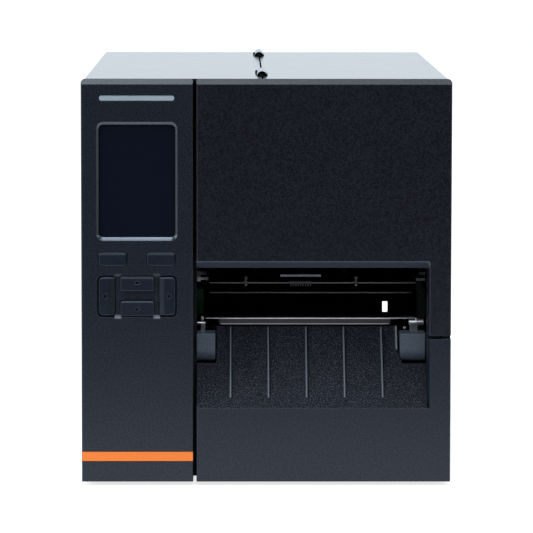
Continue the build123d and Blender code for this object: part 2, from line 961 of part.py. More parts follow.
for name, x0, x1 in (
    ("soft_key_left", left + soft_key_margin, panel_middle - soft_key_spacing / 2),
    ("soft_key_right", panel_middle + soft_key_spacing / 2, panel_right - soft_key_margin),
):
    panel -= key_hole(x0, x1, soft_z0, soft_z1, soft_key_round)
    save(name, make_key(x0, x1, soft_z0, soft_z1, soft_key_round, -key_proud, wall + sliding_gap))

side_z0 = pad_bottom + side_key_end_margin
side_z1 = tub_top - side_key_end_margin
for name, side, outer in (
    ("key_left", -1, pad_left + side_key_margin), ("key_right", 1, pad_right - side_key_margin)
):
    inner = outer - side * side_key_width
    x0, x1 = min(outer, inner), max(outer, inner)
    crease = outer - side * side_key_flat
    panel -= key_hole(x0, x1, side_z0, side_z1, middle_key_round)
    cap = make_key(x0, x1, side_z0, side_z1, middle_key_round, key_sink, flange_front)
    slope_end = inner - side * key_gap
    slope_deep = key_sink + side_key_slope * abs(slope_end - crease) / abs(inner - crease)
    cap -= slab_z(
        [(crease, key_sink), (slope_end, slope_deep), (slope_end, -overrun), (crease, -overrun)],
        side_z0 - overrun, side_z1 + overrun,
    )
    beyond = -side * side_key_round
    around = block(x0 - overrun, x1 + overrun, -overrun, pad_recess, side_z0 - overrun, side_z1 + overrun)
    cap -= around - pad_y(
        min(x0, x0 + beyond), max(x1, x1 + beyond), side_z0, side_z1, side_key_round, -overrun, pad_recess
    )
    cap -= arrow(outer - side * side_key_flat / 2, pad_middle_z, (side, 0), key_sink)
    save(name, cap)

middle_x0 = pad_left + side_key_margin + side_key_width + middle_key_gap
middle_x1 = pad_right - side_key_margin - side_key_width - middle_key_gap
for name, side, z0, z1 in (
    ("key_up", 1, pad_middle_z + middle_key_spacing / 2, tub_top - middle_key_margin),
    ("key_down", -1, pad_bottom + middle_key_margin, pad_middle_z - middle_key_spacing / 2),
):
    panel -= key_hole(middle_x0, middle_x1, z0, z1, middle_key_round)
    cap = make_key(middle_x0, middle_x1, z0, z1, middle_key_round, key_sink, flange_front)
    cap -= arrow(panel_middle, (z0 + z1) / 2 + side * arrow_shift, (0, side), key_sink)
    save(name, cap)

# Slanted notches in the rim of the key recess, at both ends of the webs between the keys
for web_x in (middle_x0 - middle_key_gap / 2, middle_x1 + middle_key_gap / 2):
    for rim_z, side in ((tub_top, 1), (pad_bottom, -1)):
        panel -= slab_x(
            [
                (-overrun, rim_z - side * overrun), (-overrun, rim_z + side * web_notch_height),
                (0, rim_z + side * web_notch_height), (pad_recess, rim_z),
                (pad_recess, rim_z - side * overrun),
            ],
            web_x - web_notch_width / 2, web_x + web_notch_width / 2,
        )

keypad_left = left + keypad_side_margin
keypad_right = panel_right - keypad_side_margin
keypad_bottom = pad_bottom - keypad_lap_low
keypad_top = soft_z1 + keypad_lap_high
post_half = keypad_post / 2
for post_x in (keypad_left + keypad_post_inset, keypad_right - keypad_post_inset):
    for post_z in (keypad_bottom + keypad_post_inset, keypad_top - keypad_post_inset):
        panel += block(
            post_x - post_half, post_x + post_half, wall, keypad_front, post_z - post_half, post_z + post_half
        )
save("control_panel", panel)
save(
    "keypad_board",
    block(keypad_left, keypad_right, keypad_front, keypad_front + board_thickness, keypad_bottom, keypad_top),
)

# Lower front panel: a flat face with a column on the right and a stop in the gap above it
lower = block(bay_left, right, 0, face_band, 0, side_panel_top)
lower = fillet(edges_at(lower, Axis.Z, x=right, y=0) + edges_at(lower, Axis.Z, x=bay_left, y=0), edge_round)
lower += block(bay_left, inner_right, face_band, panel_depth, 0, side_panel_top)
lower += block(mouth_right, inner_right, panel_depth, column_depth, pan_flange + hairline, side_panel_top)
lower -= slab_z(
    [
        (bay_left - overrun, -overrun), (ramp_right, -overrun), (ramp_right, 0),
        (mouth_right, opening_bevel_depth), (mouth_right, panel_depth + overrun),
        (bay_left - overrun, panel_depth + overrun),
    ],
    ramp_bottom, top,
)
lower -= block(
    bay_left + wall, mouth_right, wall, panel_depth + overrun, wall, ramp_bottom + overrun
)
lower -= block(
    mouth_right - overrun, inner_right - wall, wall, panel_depth + overrun, wall, ramp_bottom - wall
)
lower -= block(
    ramp_right + wall, inner_right - wall, wall, column_depth + overrun, ramp_bottom - wall,
    side_panel_top - wall,
)
lower -= block(
    ramp_right + wall, inner_right - wall, panel_depth - overrun, column_depth + overrun,
    pan_flange + hairline + wall, ramp_bottom,
)
lower += block(
    inner_right - gap_stop_width, right - sliding_gap, gap_stop_depth, face_band, side_panel_top - wall,
    leg_bottom - hairline,
)
save("lower_front_panel", lower)

# Exit ramp: sloped plate with a tongue behind the lower panel, ribs and two corner notches
ramp_slope = (ramp_top - ramp_bottom) / ramp_run
ramp_drop = ramp_thickness * hypot(1, ramp_slope)
tongue_front = face_band + hairline
tongue_back = tongue_front + ramp_tongue
ramp_end = ramp_run + ramp_nose
ramp = slab_x(
    [
        (0, ramp_bottom),
        (ramp_run, ramp_top),
        (ramp_end, ramp_top),
        (ramp_end, ramp_bottom - ramp_drop + ramp_slope * ramp_end),
        (tongue_back, ramp_bottom - ramp_drop + ramp_slope * tongue_back),
        (tongue_back, ramp_bottom - ramp_tongue_drop),
        (tongue_front, ramp_bottom - ramp_tongue_drop),
        (tongue_front, ramp_bottom),
    ],
    bay_left + hairline, mouth_right - hairline,
)
ramp -= block(
    mouth_right - wall, mouth_right, tongue_front - overrun, tongue_back + overrun,
    ramp_bottom - ramp_tongue_drop - overrun, ramp_bottom + hairline,
)
ramp -= block(
    bay_left, bay_left + wall + hairline, tongue_front - overrun, tongue_back + overrun,
    ramp_bottom - ramp_tongue_drop - overrun, ramp_bottom,
)
rib_rise = ramp_rib_height * hypot(1, ramp_slope)
rib_pitch = (ramp_right - ramp_rib_last - bay_left - ramp_rib_first) / (ramp_rib_count - 1)
for index in range(ramp_rib_count):
    rib_x = bay_left + ramp_rib_first + index * rib_pitch
    low = ramp_bottom + ramp_slope * ramp_rib_start
    high = ramp_bottom + ramp_slope * ramp_rib_end
    ramp += slab_x(
        [
            (ramp_rib_start, low - ramp_thickness / 2),
            (ramp_rib_start, low + rib_rise / 2),
            (ramp_rib_start + ramp_rib_height, low + ramp_slope * ramp_rib_height + rib_rise),
            (ramp_rib_end, high + rib_rise),
            (ramp_rib_end, high - ramp_thickness / 2),
        ],
        rib_x - ramp_rib_width / 2, rib_x + ramp_rib_width / 2,
    )
left_cap_right = frame_right + left_cap_start + left_cap_width
ramp -= block(
    bay_left - overrun, left_cap_right + left_notch_gap, -overrun, ramp_end + overrun,
    cap_bottom - left_notch_drop, top,
)
right_cap_left = bracket_inner_right - right_cap_lap
right_notch_bottom = cap_bottom - right_notch_drop
notch_left = right_cap_left - right_notch_gap
slant_top = right_notch_bottom + right_notch_slant_height
slant_right = notch_left + right_notch_slant_width
rim_rise = ramp_rim_height * hypot(1, ramp_slope)
rim = slab_x(
    [
        (0, ramp_bottom - ramp_thickness / 2), (0, ramp_bottom + rim_rise), (ramp_run, ramp_top + rim_rise),
        (ramp_run, ramp_top - ramp_thickness / 2),
    ],
    notch_left - ramp_rim_width, slant_right,
)
rim &= slab_y(
    [
        (notch_left - ramp_rim_width, ramp_top), (notch_left - ramp_rim_width, slant_top),
        (slant_right - ramp_rim_width, right_notch_bottom), (slant_right, right_notch_bottom),
        (notch_left, slant_top), (notch_left, ramp_top),
    ],
    -overrun, ramp_end + overrun,
)
ramp += rim
ramp -= slab_y(
    [
        (notch_left, top), (notch_left, slant_top), (slant_right, right_notch_bottom),
        (right, right_notch_bottom), (right, top),
    ],
    -overrun, ramp_end + overrun,
)
save("exit_ramp", ramp)

# Grey end blocks in front of the platen bearings, rounded underneath
cap_front = tear_y - cap_depth
for name, x0, x1 in (
    ("platen_cap_left", frame_right + left_cap_start, left_cap_right),
    ("platen_cap_right", right_cap_left, right_cap_left + right_cap_width),
):
    cap = block(x0, x1, cap_front, tear_y, cap_bottom, cap_top)
    cap = fillet(edges_at(cap, Axis.X, y=cap_front, z=cap_bottom), cap_round)
    cap = fillet(edges_at(cap, Axis.X, y=cap_front, z=cap_top), edge_round)
    cap -= slab_y(
        [
            (notch_left, right_notch_bottom), (notch_left, slant_top + sliding_gap),
            (notch_left + sliding_gap, slant_top + sliding_gap),
            (slant_right + sliding_gap, right_notch_bottom + sliding_gap),
            (slant_right + sliding_gap, right_notch_bottom),
        ],
        cap_front - overrun, tear_y + overrun,
    )
    save(name, cap)

# Small turned studs standing on the end blocks
studs = []
stud_y = tear_y - stud_offset
for datum, start, length, radius, stem_start, stem, rise in (
    (frame_right, left_stud_start, left_stud_length, left_stud_radius, left_stud_stem_start, left_stud_stem,
     left_stud_rise),
    (bracket_inner_right, right_stud_start, right_stud_length, right_stud_radius, right_stud_stem_start,
     right_stud_stem, right_stud_rise),
):
    stud = rod_x(datum + start, datum + start + length, stud_y, cap_top + rise, radius)
    stud += block(
        datum + stem_start - stem / 2, datum + stem_start + stem / 2, stud_y - stem / 2, stud_y + stem / 2,
        cap_top, cap_top + rise,
    )
    studs.append(stud)
save("bracket_studs", *studs)

# Side brackets of the print mechanism, each with a lug under the tear bar and guiding tabs
bracket_bottom = platen_z - bracket_drop
bracket_neck = platen_y + bracket_neck_offset
bracket_shoulder = platen_z + bracket_shoulder_rise
bracket_crown = lever_z + bracket_crown_rise
bracket_back = pivot_y + bracket_back_offset
bracket_lower_back = pivot_y - bracket_lower_back_offset
bracket_outline = [
    (tear_y, bracket_bottom), (tear_y, lip_bottom), (bracket_neck, lip_bottom),
    (bracket_neck, bracket_shoulder), (lever_y - bracket_rise_offset, bracket_shoulder),
    (lever_y - bracket_crown_half, bracket_crown), (lever_y + bracket_crown_half, bracket_crown),
    (bracket_back, pivot_z + bracket_back_rise), (bracket_back, carriage_bottom),
    (bracket_lower_back, deck_top), (bracket_lower_back, bracket_bottom),
]
lug_bottom = lip_bottom - lug_height
through = (frame_left - overrun, bracket_outer_right + overrun)
bracket_cuts = rod_x(*through, platen_y, platen_z, bearing_outer_radius + bearing_seat_gap)
bracket_cuts += rod_x(*through, lever_y, lever_z, lever_shaft_radius + run_clearance)
bracket_cuts += rod_x(*through, pivot_y, pivot_z, pivot_radius + bearing_seat_gap)
left_bracket = slab_x(bracket_outline, frame_right, bracket_inner_left)
left_bracket += block(
    frame_right, frame_right + left_lug_width, tear_y, tear_y + lug_depth, lug_bottom, lip_bottom
)
tab_back = bracket_neck + bracket_tab_depth
for tab_rise, reach in ((left_tab_low_rise, left_tab_low_reach), (left_tab_high_rise, left_tab_high_reach)):
    tab_bottom = platen_z + tab_rise
    left_bracket += block(
        bracket_inner_left, frame_right + reach, bracket_neck, tab_back, tab_bottom,
        tab_bottom + bracket_tab_thickness,
    )
save("mech_bracket_left", left_bracket - bracket_cuts)
right_bracket = slab_x(bracket_outline, bracket_inner_right, bracket_outer_right)
bracket_foot_front = platen_y + bracket_foot_offset
right_bracket += block(
    bracket_inner_right, bracket_outer_right, bracket_foot_front, bracket_lower_back, pan_thickness,
    bracket_bottom,
)
right_bracket += block(
    bracket_outer_right, bracket_inner_right + bracket_foot_width, bracket_foot_front, bracket_lower_back,
    pan_thickness, pan_thickness + bracket_foot_thickness,
)
right_bracket += block(
    bracket_inner_right, bracket_inner_right + right_lug_width, tear_y, tear_y + lug_depth, lug_bottom,
    lip_bottom,
)
for tab_rise in (right_tab_low_rise, right_tab_high_rise):
    tab_bottom = platen_z + tab_rise
    right_bracket += block(
        bracket_outer_right, bracket_inner_right + right_tab_reach, bracket_neck, tab_back, tab_bottom,
        tab_bottom + bracket_tab_thickness,
    )
save("mech_bracket_right", right_bracket - bracket_cuts)

# Tear bar: angle with a thin lip on the lugs and a flange with rounded lower corners
tear_bar = block(
    frame_right + tear_lip_start, bracket_inner_right + tear_lip_reach, tear_y, tear_y + tear_lip,
    lip_bottom, tear_top,
)
flange_left = frame_right + tear_flange_start
flange_right = bracket_inner_right - tear_flange_gap
tear_flange = block(flange_left, flange_right, tear_y, tear_y + tear_thickness, tear_bottom, lip_bottom)
tear_flange = fillet(
    edges_at(tear_flange, Axis.Y, x=flange_left, z=tear_bottom)
    + edges_at(tear_flange, Axis.Y, x=flange_right, z=tear_bottom),
    tear_flange_round,
)
tear_flange = fillet(edges_at(tear_flange, Axis.X, y=tear_y, z=tear_bottom), tear_edge_round)
save("tear_bar", tear_bar + tear_flange)

# Media deck between the brackets, its front lip bent down, with a slot for the edge guide
deck = block(
    bracket_inner_left, bracket_inner_right, deck_front, deck_back, deck_top - deck_thickness, deck_top
)
deck += block(
    bracket_inner_left, bracket_inner_right, deck_front, deck_front + deck_thickness, deck_top - deck_lip,
    deck_top,
)
deck = fillet(edges_at(deck, Axis.X, y=deck_front, z=deck_top), edge_round)
edge_guide_front = deck_back - edge_guide_inset
slot_y = edge_guide_front + (edge_guide_depth - edge_guide_slot) / 2
deck -= block(
    frame_right + edge_guide_slot_start, bracket_inner_right - edge_guide_slot_end, slot_y,
    slot_y + edge_guide_slot, deck_top - deck_thickness - overrun, deck_top + overrun,
)
save("media_deck", deck)

# Edge guide that slides across the deck on a key in the slot
guide_x1 = bracket_inner_right - edge_guide_gap
guide_x0 = guide_x1 - edge_guide_length
guide_y1 = edge_guide_front + edge_guide_depth
edge_guide = slab_x(
    [
        (edge_guide_front, deck_top + hairline),
        (edge_guide_front, deck_top + edge_guide_height / 2),
        (edge_guide_front + edge_guide_height / 2, deck_top + edge_guide_height),
        (guide_y1, deck_top + edge_guide_height),
        (guide_y1, deck_top + hairline),
    ],
    guide_x0, guide_x1,
)
key_y0 = slot_y + (edge_guide_slot - edge_guide_key) / 2
edge_guide += block(
    guide_x0, guide_x1, key_y0, key_y0 + edge_guide_key, deck_top - deck_thickness, deck_top + hairline
)
save("media_edge_guide", edge_guide)

# Upper sensor bridge, carried by the left bracket over the label path
bridge_y = deck_front + bridge_offset
bridge_end = bridge_y + bridge_depth
bridge_bottom = deck_top + bridge_clearance
bridge_top = bridge_bottom + bridge_height
bridge = slab_x(
    [
        (bridge_y + bridge_chamfer, bridge_bottom), (bridge_y, bridge_bottom + bridge_chamfer),
        (bridge_y, bridge_top - bridge_chamfer), (bridge_y + bridge_chamfer, bridge_top),
        (bridge_end - bridge_chamfer, bridge_top), (bridge_end, bridge_top - bridge_chamfer),
        (bridge_end, bridge_bottom + bridge_chamfer), (bridge_end - bridge_chamfer, bridge_bottom),
    ],
    bracket_inner_left, bracket_inner_right - bridge_end_gap,
)
save("sensor_bridge", bridge)
sensor_board_y = platen_y + sensor_board_offset
sensor_board_bottom = platen_z + sensor_board_rise
save(
    "sensor_board",
    block(
        frame_right, frame_right + sensor_board_width, sensor_board_y, sensor_board_y + board_thickness,
        sensor_board_bottom, sensor_board_bottom + sensor_board_height,
    ),
)

# Platen: rubber roller on a steel shaft between two flanged bearings
roller_left = frame_right + platen_start
roller_right = bracket_inner_right - platen_end_gap
shaft_right = bracket_outer_right + platen_shaft_end
shaft = rod_x(gear_left - gear_standoff, shaft_right, platen_y, platen_z, platen_shaft_radius)
save("platen_shaft", shaft)
roller = rod_x(roller_left, roller_right, platen_y, platen_z, platen_radius)
roller -= rod_x(roller_left - overrun, roller_right + overrun, platen_y, platen_z, platen_shaft_radius)
save("platen_roller", roller)
bearings = []
for x0, x1 in ((frame_left, bracket_inner_left), (bracket_inner_right, bracket_outer_right)):
    ring = rod_x(x0, x1, platen_y, platen_z, bearing_outer_radius)
    ring -= rod_x(x0 - overrun, x1 + overrun, platen_y, platen_z, platen_shaft_radius + run_clearance)
    bearings.append(ring)
save("platen_bearings", *bearings)


# Spur gears with involute flanks, in the side view; phase is the angle of one tooth's middle
def gear(teeth, phase, x0, x1, y, z, bore):
    pitch_radius = gear_module * teeth / 2
    pressure = radians(gear_pressure_angle)
    base_radius = pitch_radius * cos(pressure)
    tip_radius = pitch_radius + gear_module * gear_addendum_share
    root_radius = pitch_radius - gear_module * gear_dedendum_share
    start_radius = max(base_radius, root_radius)
    half_tooth = pi / (2 * teeth) - gear_backlash / (2 * pitch_radius)
    flank = []
    for step in range(gear_flank_steps + 1):
        radius = start_radius + (tip_radius - start_radius) * step / gear_flank_steps
        angle = acos(min(1, base_radius / radius))
        flank.append((radius, half_tooth + (tan(pressure) - pressure) - (tan(angle) - angle)))
    side = flank if start_radius == root_radius else [(root_radius, flank[0][1])] + flank
    points = []
    for tooth in range(teeth):
        middle = phase + 2 * pi * tooth / teeth
        points += [(r * cos(middle - a), r * sin(middle - a)) for r, a in side]
        points += [(r * cos(middle + a), r * sin(middle + a)) for r, a in reversed(side)]
    wheel = slab_x([(y + py, z + pz) for py, pz in points], x0, x1)
    if bore:
        wheel -= rod_x(x0 - overrun, x1 + overrun, y, z, bore)
    return wheel


# Phases that put a tooth of one wheel in a gap of the next on each line of centres
idler_angle = radians(idler_direction)
pinion_angle = radians(pinion_direction)
idler_phase = idler_angle + pi + pi / idler_teeth
lead = (pinion_angle - idler_phase) % (2 * pi / idler_teeth)
pinion_phase = pinion_angle + pi + lead * idler_teeth / pinion_teeth + pi / pinion_teeth
save(
    "platen_gear",
    gear(platen_teeth, idler_angle, gear_left, gear_right, platen_y, platen_z, platen_shaft_radius),
)
save(
    "idler_gear",
    gear(
        idler_teeth, idler_phase, gear_left, gear_right, idler_y, idler_z, idler_axle_radius + run_clearance
    ),
)

# Stepper motor on its plate, with the pinion on its shaft
plate_right = gear_left - motor_plate_gap
plate_left = plate_right - motor_plate
motor_half = motor_side / 2
pinion = gear(pinion_teeth, pinion_phase, gear_left, gear_right, pinion_y, pinion_z, 0)
pinion += rod_x(plate_left - motor_shaft_reach, gear_left, pinion_y, pinion_z, pinion_shaft_radius)
save("motor_pinion", pinion)
motor = block(
    plate_left - motor_length, plate_left, pinion_y - motor_half, pinion_y + motor_half,
    pinion_z - motor_half, pinion_z + motor_half,
)
motor = chamfer(motor.edges().filter_by(Axis.X), motor_corner)
motor += rod_x(plate_left, plate_left + motor_pilot_height, pinion_y, pinion_z, motor_pilot_radius)
motor -= rod_x(
    plate_left - motor_shaft_reach - overrun, plate_right + overrun, pinion_y, pinion_z,
    pinion_shaft_radius + run_clearance,
)
save("stepper_motor", motor)
plate_y0 = pinion_y - motor_half - motor_plate_margin
plate_y1 = pinion_y + motor_half + motor_plate_margin
plate_z0 = pinion_z - motor_half - motor_plate_margin
plate_z1 = pinion_z + motor_half + motor_plate_margin
motor_bracket = block(plate_left, plate_right, plate_y0, plate_y1, plate_z0, plate_z1)
motor_bracket += block(plate_right, frame_left, plate_y1 - motor_plate, plate_y1, plate_z0, plate_z1)
motor_bracket += block(plate_right, frame_left, plate_y0, plate_y1, plate_z0, plate_z0 + motor_plate)
motor_bracket -= rod_x(
    plate_left - overrun, plate_right + overrun, pinion_y, pinion_z, motor_pilot_radius + bearing_seat_gap
)
save("motor_bracket", motor_bracket)

# Print head carriage: ribbed tray on two ears, with pressure pads under the cams
carriage_left = frame_right + carriage_start
carriage_right = bracket_inner_right - carriage_end_gap
carriage_back = pivot_y - carriage_back_gap
bar_lap_back = head_back
head_left = frame_right + head_start
head_right = bracket_inner_right - head_end_gap
pad_front = lever_y + pad_offset
pad_centres = [(head_left + head_right + side * pad_spacing) / 2 for side in (-1, 1)]
carriage = block(
    carriage_left, carriage_right, carriage_front, carriage_back, carriage_bottom, carriage_top
)
pocket_span = (carriage_right - carriage_left - carriage_wall) / carriage_pockets
for index in range(carriage_pockets):
    pocket_x = carriage_left + carriage_wall + index * pocket_span
    carriage -= block(
        pocket_x, pocket_x + pocket_span - carriage_wall, bar_lap_back + carriage_wall,
        pad_front - carriage_wall, carriage_bottom + carriage_floor, carriage_top + overrun,
    )
for ear_x in (carriage_left, carriage_right - ear_width):
    carriage += rod_x(ear_x, ear_x + ear_width, pivot_y, pivot_z, ear_radius)
for centre in pad_centres:
    carriage += block(
        centre - pad_length / 2, centre + pad_length / 2, pad_front, pad_front + pad_depth, carriage_top,
        pad_top,
    )
carriage -= rod_x(
    carriage_left - overrun, carriage_right + overrun, pivot_y, pivot_z, pivot_radius + run_clearance
)
save("head_carriage", carriage)
save("head_pivot_shaft", rod_x(frame_right, bracket_outer_right, pivot_y, pivot_z, pivot_radius))

# Print head: heat sink bar with its nose over the platen
nose_z = platen_z + platen_radius + head_nip
head_front = platen_y - head_front_offset
printhead = slab_x(
    [
        (head_front, platen_z + head_front_rise), (platen_y - head_nose_half, nose_z),
        (platen_y + head_nose_half, nose_z), (head_back, platen_z + head_back_rise),
        (head_back, carriage_bottom), (carriage_front, carriage_bottom),
        (head_front, platen_z + head_top_rise),
    ],
    head_left, head_right,
)
save("printhead", printhead)

# Front bar of the head, its long edges catch the light; it laps onto the carriage
bar_shelf_z = carriage_top + bar_sheet
bar_shelf_y = bar_front + bar_shelf_depth
bar_under_y = bar_front + bar_under_depth
front_bar = slab_x(
    [
        (bar_front, bar_line_low), (bar_front, bar_line_high), (bar_shelf_y, bar_shelf_z),
        (bar_lap_back, bar_shelf_z), (bar_lap_back, carriage_top), (carriage_front, carriage_top),
        (carriage_front, bar_line_high - bar_sheet), (bar_under_y, bar_line_low),
    ],
    carriage_left, carriage_right,
)
front_bar += slab_x(
    [
        (bar_front, bar_line_low), (bar_front, bar_line_high), (bar_shelf_y, bar_shelf_z),
        (carriage_front, bar_shelf_z), (carriage_front, bar_line_high - bar_sheet),
        (bar_under_y, bar_line_low),
    ],
    carriage_right, bracket_inner_right + bar_reach,
)
grip_left = frame_right + grip_start
grip_bottom = bar_line_high + grip_root
grip_top = bar_line_high + grip_rise
comb = [(grip_left, grip_bottom), (grip_left, grip_top)]
teeth_count = int(grip_width / grip_pitch)
for index in range(teeth_count):
    tooth_end = grip_left + (index + 1) * grip_pitch
    comb += [
        (tooth_end - grip_tooth, grip_top), (tooth_end - grip_tooth, grip_top - grip_tooth_height),
        (tooth_end, grip_top - grip_tooth_height), (tooth_end, grip_top),
    ]
comb += [(grip_left + grip_width, grip_top), (grip_left + grip_width, grip_bottom)]
front_bar += slab_y(comb, bar_shelf_y - grip_depth / 2, bar_shelf_y)
front_bar += block(
    grip_left, grip_left + grip_width, bar_shelf_y, bar_shelf_y + grip_depth / 2, grip_bottom, grip_top
)
save("head_front_bar", front_bar)


def toward(angle, distance):
    """Offset (y, z) in the side view; angle is counted from the back, counter-clockwise."""
    return distance * cos(radians(angle)), distance * sin(radians(angle))


def link(x0, x1, y0, z0, r0, y1, z1, r1):
    """Flat link between two round ends, in the side view."""
    away = atan2(z1 - z0, y1 - y0)
    spread = acos((r0 - r1) / hypot(y1 - y0, z1 - z0))
    ends = []
    for cy, cz, r, sign in ((y0, z0, r0, 1), (y1, z1, r1, 1), (y1, z1, r1, -1), (y0, z0, r0, -1)):
        ends.append((cy + r * cos(away + sign * spread), cz + r * sin(away + sign * spread)))
    return slab_x(ends, x0, x1) + rod_x(x0, x1, y0, z0, r0) + rod_x(x0, x1, y1, z1, r1)


# Pressure lever: cross shaft with two cams and a handle outside the right bracket
lever_x0 = bracket_outer_right + lever_gap
lever_x1 = lever_x0 + lever_thickness
lever = rod_x(frame_left, lever_x1, lever_y, lever_z, lever_shaft_radius)
down = -90
tip_y, tip_z = toward(down + cam_lean, cam_reach)
for centre in pad_centres:
    lever += link(
        centre - cam_width / 2, centre + cam_width / 2, lever_y, lever_z, cam_hub_radius, lever_y + tip_y,
        lever_z + tip_z, cam_tip_radius,
    )
lever_arm = (inner_top - lever_headroom - lever_grip_radius - lever_z) / sin(radians(lever_lean))
end_y, end_z = toward(lever_lean, lever_arm)
lever += link(
    lever_x0, lever_x1, lever_y, lever_z, lever_hub_radius, lever_y + end_y, lever_z + end_z,
    lever_grip_radius,
)
lever += rod_x(lever_x0, lever_x0 + lever_grip_width, lever_y + end_y, lever_z + end_z, lever_grip_radius)
save("head_lever", lever)

# Ribbon spindles: ribbed cores with a flange by the frame and a rounded end cap
for name, spindle_y in (("ribbon_takeup_spindle", takeup_y), ("ribbon_supply_spindle", supply_y)):
    core_left = bracket_inner_left + spindle_gap
    core_right = bracket_inner_right - spindle_end_gap
    spindle = rod_x(frame_left - hub_length, core_left, spindle_y, spindle_z, spindle_shaft_radius)
    spindle += rod_x(core_left, core_right, spindle_y, spindle_z, spindle_core_radius)
    spindle += rod_x(
        core_left, core_left + spindle_flange_thickness, spindle_y, spindle_z, spindle_flange_radius
    )
    for index in range(spindle_rib_count):
        rib = block(
            core_left, core_right, -spindle_rib_width / 2, spindle_rib_width / 2, 0, spindle_rib_radius
        )
        rib = Rot(360 / spindle_rib_count * index, 0, 0) * rib
        spindle += Pos(0, spindle_y, spindle_z) * rib
    spindle += rod_x(
        core_right, core_right + spindle_cap_thickness, spindle_y, spindle_z, spindle_cap_radius
    )
    save(name, spindle)

# Media holder: a cantilever bar with a flat underneath, and the guide that slides on it
media_bar_right = bracket_inner_right - media_bar_gap
bar = rod_x(frame_right, media_bar_right, media_y, media_z, media_bar_radius)
bar -= block(
    frame_right - overrun, media_bar_right + overrun, media_y - media_bar_radius - overrun,
    media_y + media_bar_radius + overrun, media_z - media_bar_radius - overrun, media_z - media_bar_flat,
)
bar += rod_x(frame_right, frame_right + media_flange_thickness, media_y, media_z, media_flange_radius)
save("media_spindle", bar)
guide_left = bracket_inner_right - guide_gap
guide_right = guide_left + guide_thickness
guide = pad_x(
    media_y - guide_half_width, media_y + guide_half_width, media_z - guide_drop, media_z + guide_rise,
    guide_half_width / 2, guide_left, guide_right,
)
guide += rod_x(guide_left - guide_hub_length, guide_left, media_y, media_z, guide_hub_radius)
hole = rod_x(
    guide_left - guide_hub_length - overrun, guide_right + overrun, media_y, media_z,
    media_bar_radius + guide_clearance,
)
hole -= block(
    guide_left - guide_hub_length - overrun, guide_right + overrun,
    media_y - media_bar_radius - overrun, media_y + media_bar_radius + overrun,
    media_z - media_bar_radius - overrun, media_z - media_bar_flat - guide_clearance,
)
save("media_guide", guide - hole)

# Web damper: arm on a pin in the frame's boss, with a roller under the label path
arm_x0 = frame_right + damper_arm_start
arm_x1 = arm_x0 + damper_arm_thickness
damper_roller_y = damper_y - damper_roller_reach
damper_roller_z = damper_z + damper_roller_rise
damper = link(
    arm_x0, arm_x1, damper_y, damper_z, damper_arm_half, damper_roller_y, damper_roller_z,
    damper_roller_radius,
)
damper += rod_x(frame_left - damper_boss_length, arm_x0, damper_y, damper_z, damper_pin_radius)
damper += rod_x(
    arm_x0, bracket_inner_right - damper_roller_gap, damper_roller_y, damper_roller_z, damper_roller_radius
)
save("media_damper", damper)

# Main board with a finned heat sink, on the frame's posts
board = block(board_left, board_right, board_front, board_back, board_bottom, board_top)
sink_x0 = board_left - heatsink_height
heatsink_front = board_front + heatsink_inset
heatsink_bottom = board_bottom + heatsink_rise
sink = block(
    sink_x0, board_left, heatsink_front, heatsink_front + heatsink_side, heatsink_bottom,
    heatsink_bottom + heatsink_side,
)
fin_pitch = heatsink_side / (2 * heatsink_fins - 1)
for index in range(heatsink_fins - 1):
    gap_y = heatsink_front + (2 * index + 1) * fin_pitch
    sink -= block(
        sink_x0 - overrun, sink_x0 + heatsink_fin_depth, gap_y, gap_y + fin_pitch,
        heatsink_bottom - overrun, heatsink_bottom + heatsink_side + overrun,
    )
save("main_board", board + sink)

# Interface ports on the main board, their mouths in the rear panel
port_x1 = board_left
port_x0 = board_left - port_height
port_y1 = case_depth - port_sink
port_y0 = port_y1 - port_depth
port_mid = (port_x0 + port_x1) / 2
ports, port_holes = [], []


def add_port(rise, width, mouth_height, mouth_width, mouth_depth):
    bottom = board_bottom + rise
    middle = bottom + width / 2
    port = block(port_x0, port_x1, port_y0, port_y1, bottom, bottom + width)
    port -= block(
        port_mid - mouth_height / 2, port_mid + mouth_height / 2, port_y1 - mouth_depth, port_y1 + overrun,
        middle - mouth_width / 2, middle + mouth_width / 2,
    )
    ports.append(port)
    port_holes.append(
        block(
            port_x0 - port_gap, port_x1 + port_gap, rear_inner - overrun, case_depth + overrun,
            bottom - port_gap, bottom + width + port_gap,
        )
    )


add_port(lan_rise, lan_width, lan_jack_height, lan_jack_width, lan_jack_depth)
add_port(host_rise, host_width, host_slot_height, host_slot_width, host_slot_depth)
add_port(device_rise, device_width, device_slot_width, device_slot_width, device_slot_depth)
add_port(serial_rise, serial_width, serial_shell_height, serial_shell_width, serial_depth)
save("interface_ports", *ports)

# Power supply on the base pan
psu_left = inner_left + psu_left_margin
psu_back = case_depth - inlet_depth - psu_end_gap
supply = block(
    psu_left, psu_left + psu_width, psu_front, psu_back, pan_thickness, pan_thickness + psu_height
)
save("power_supply", supply)

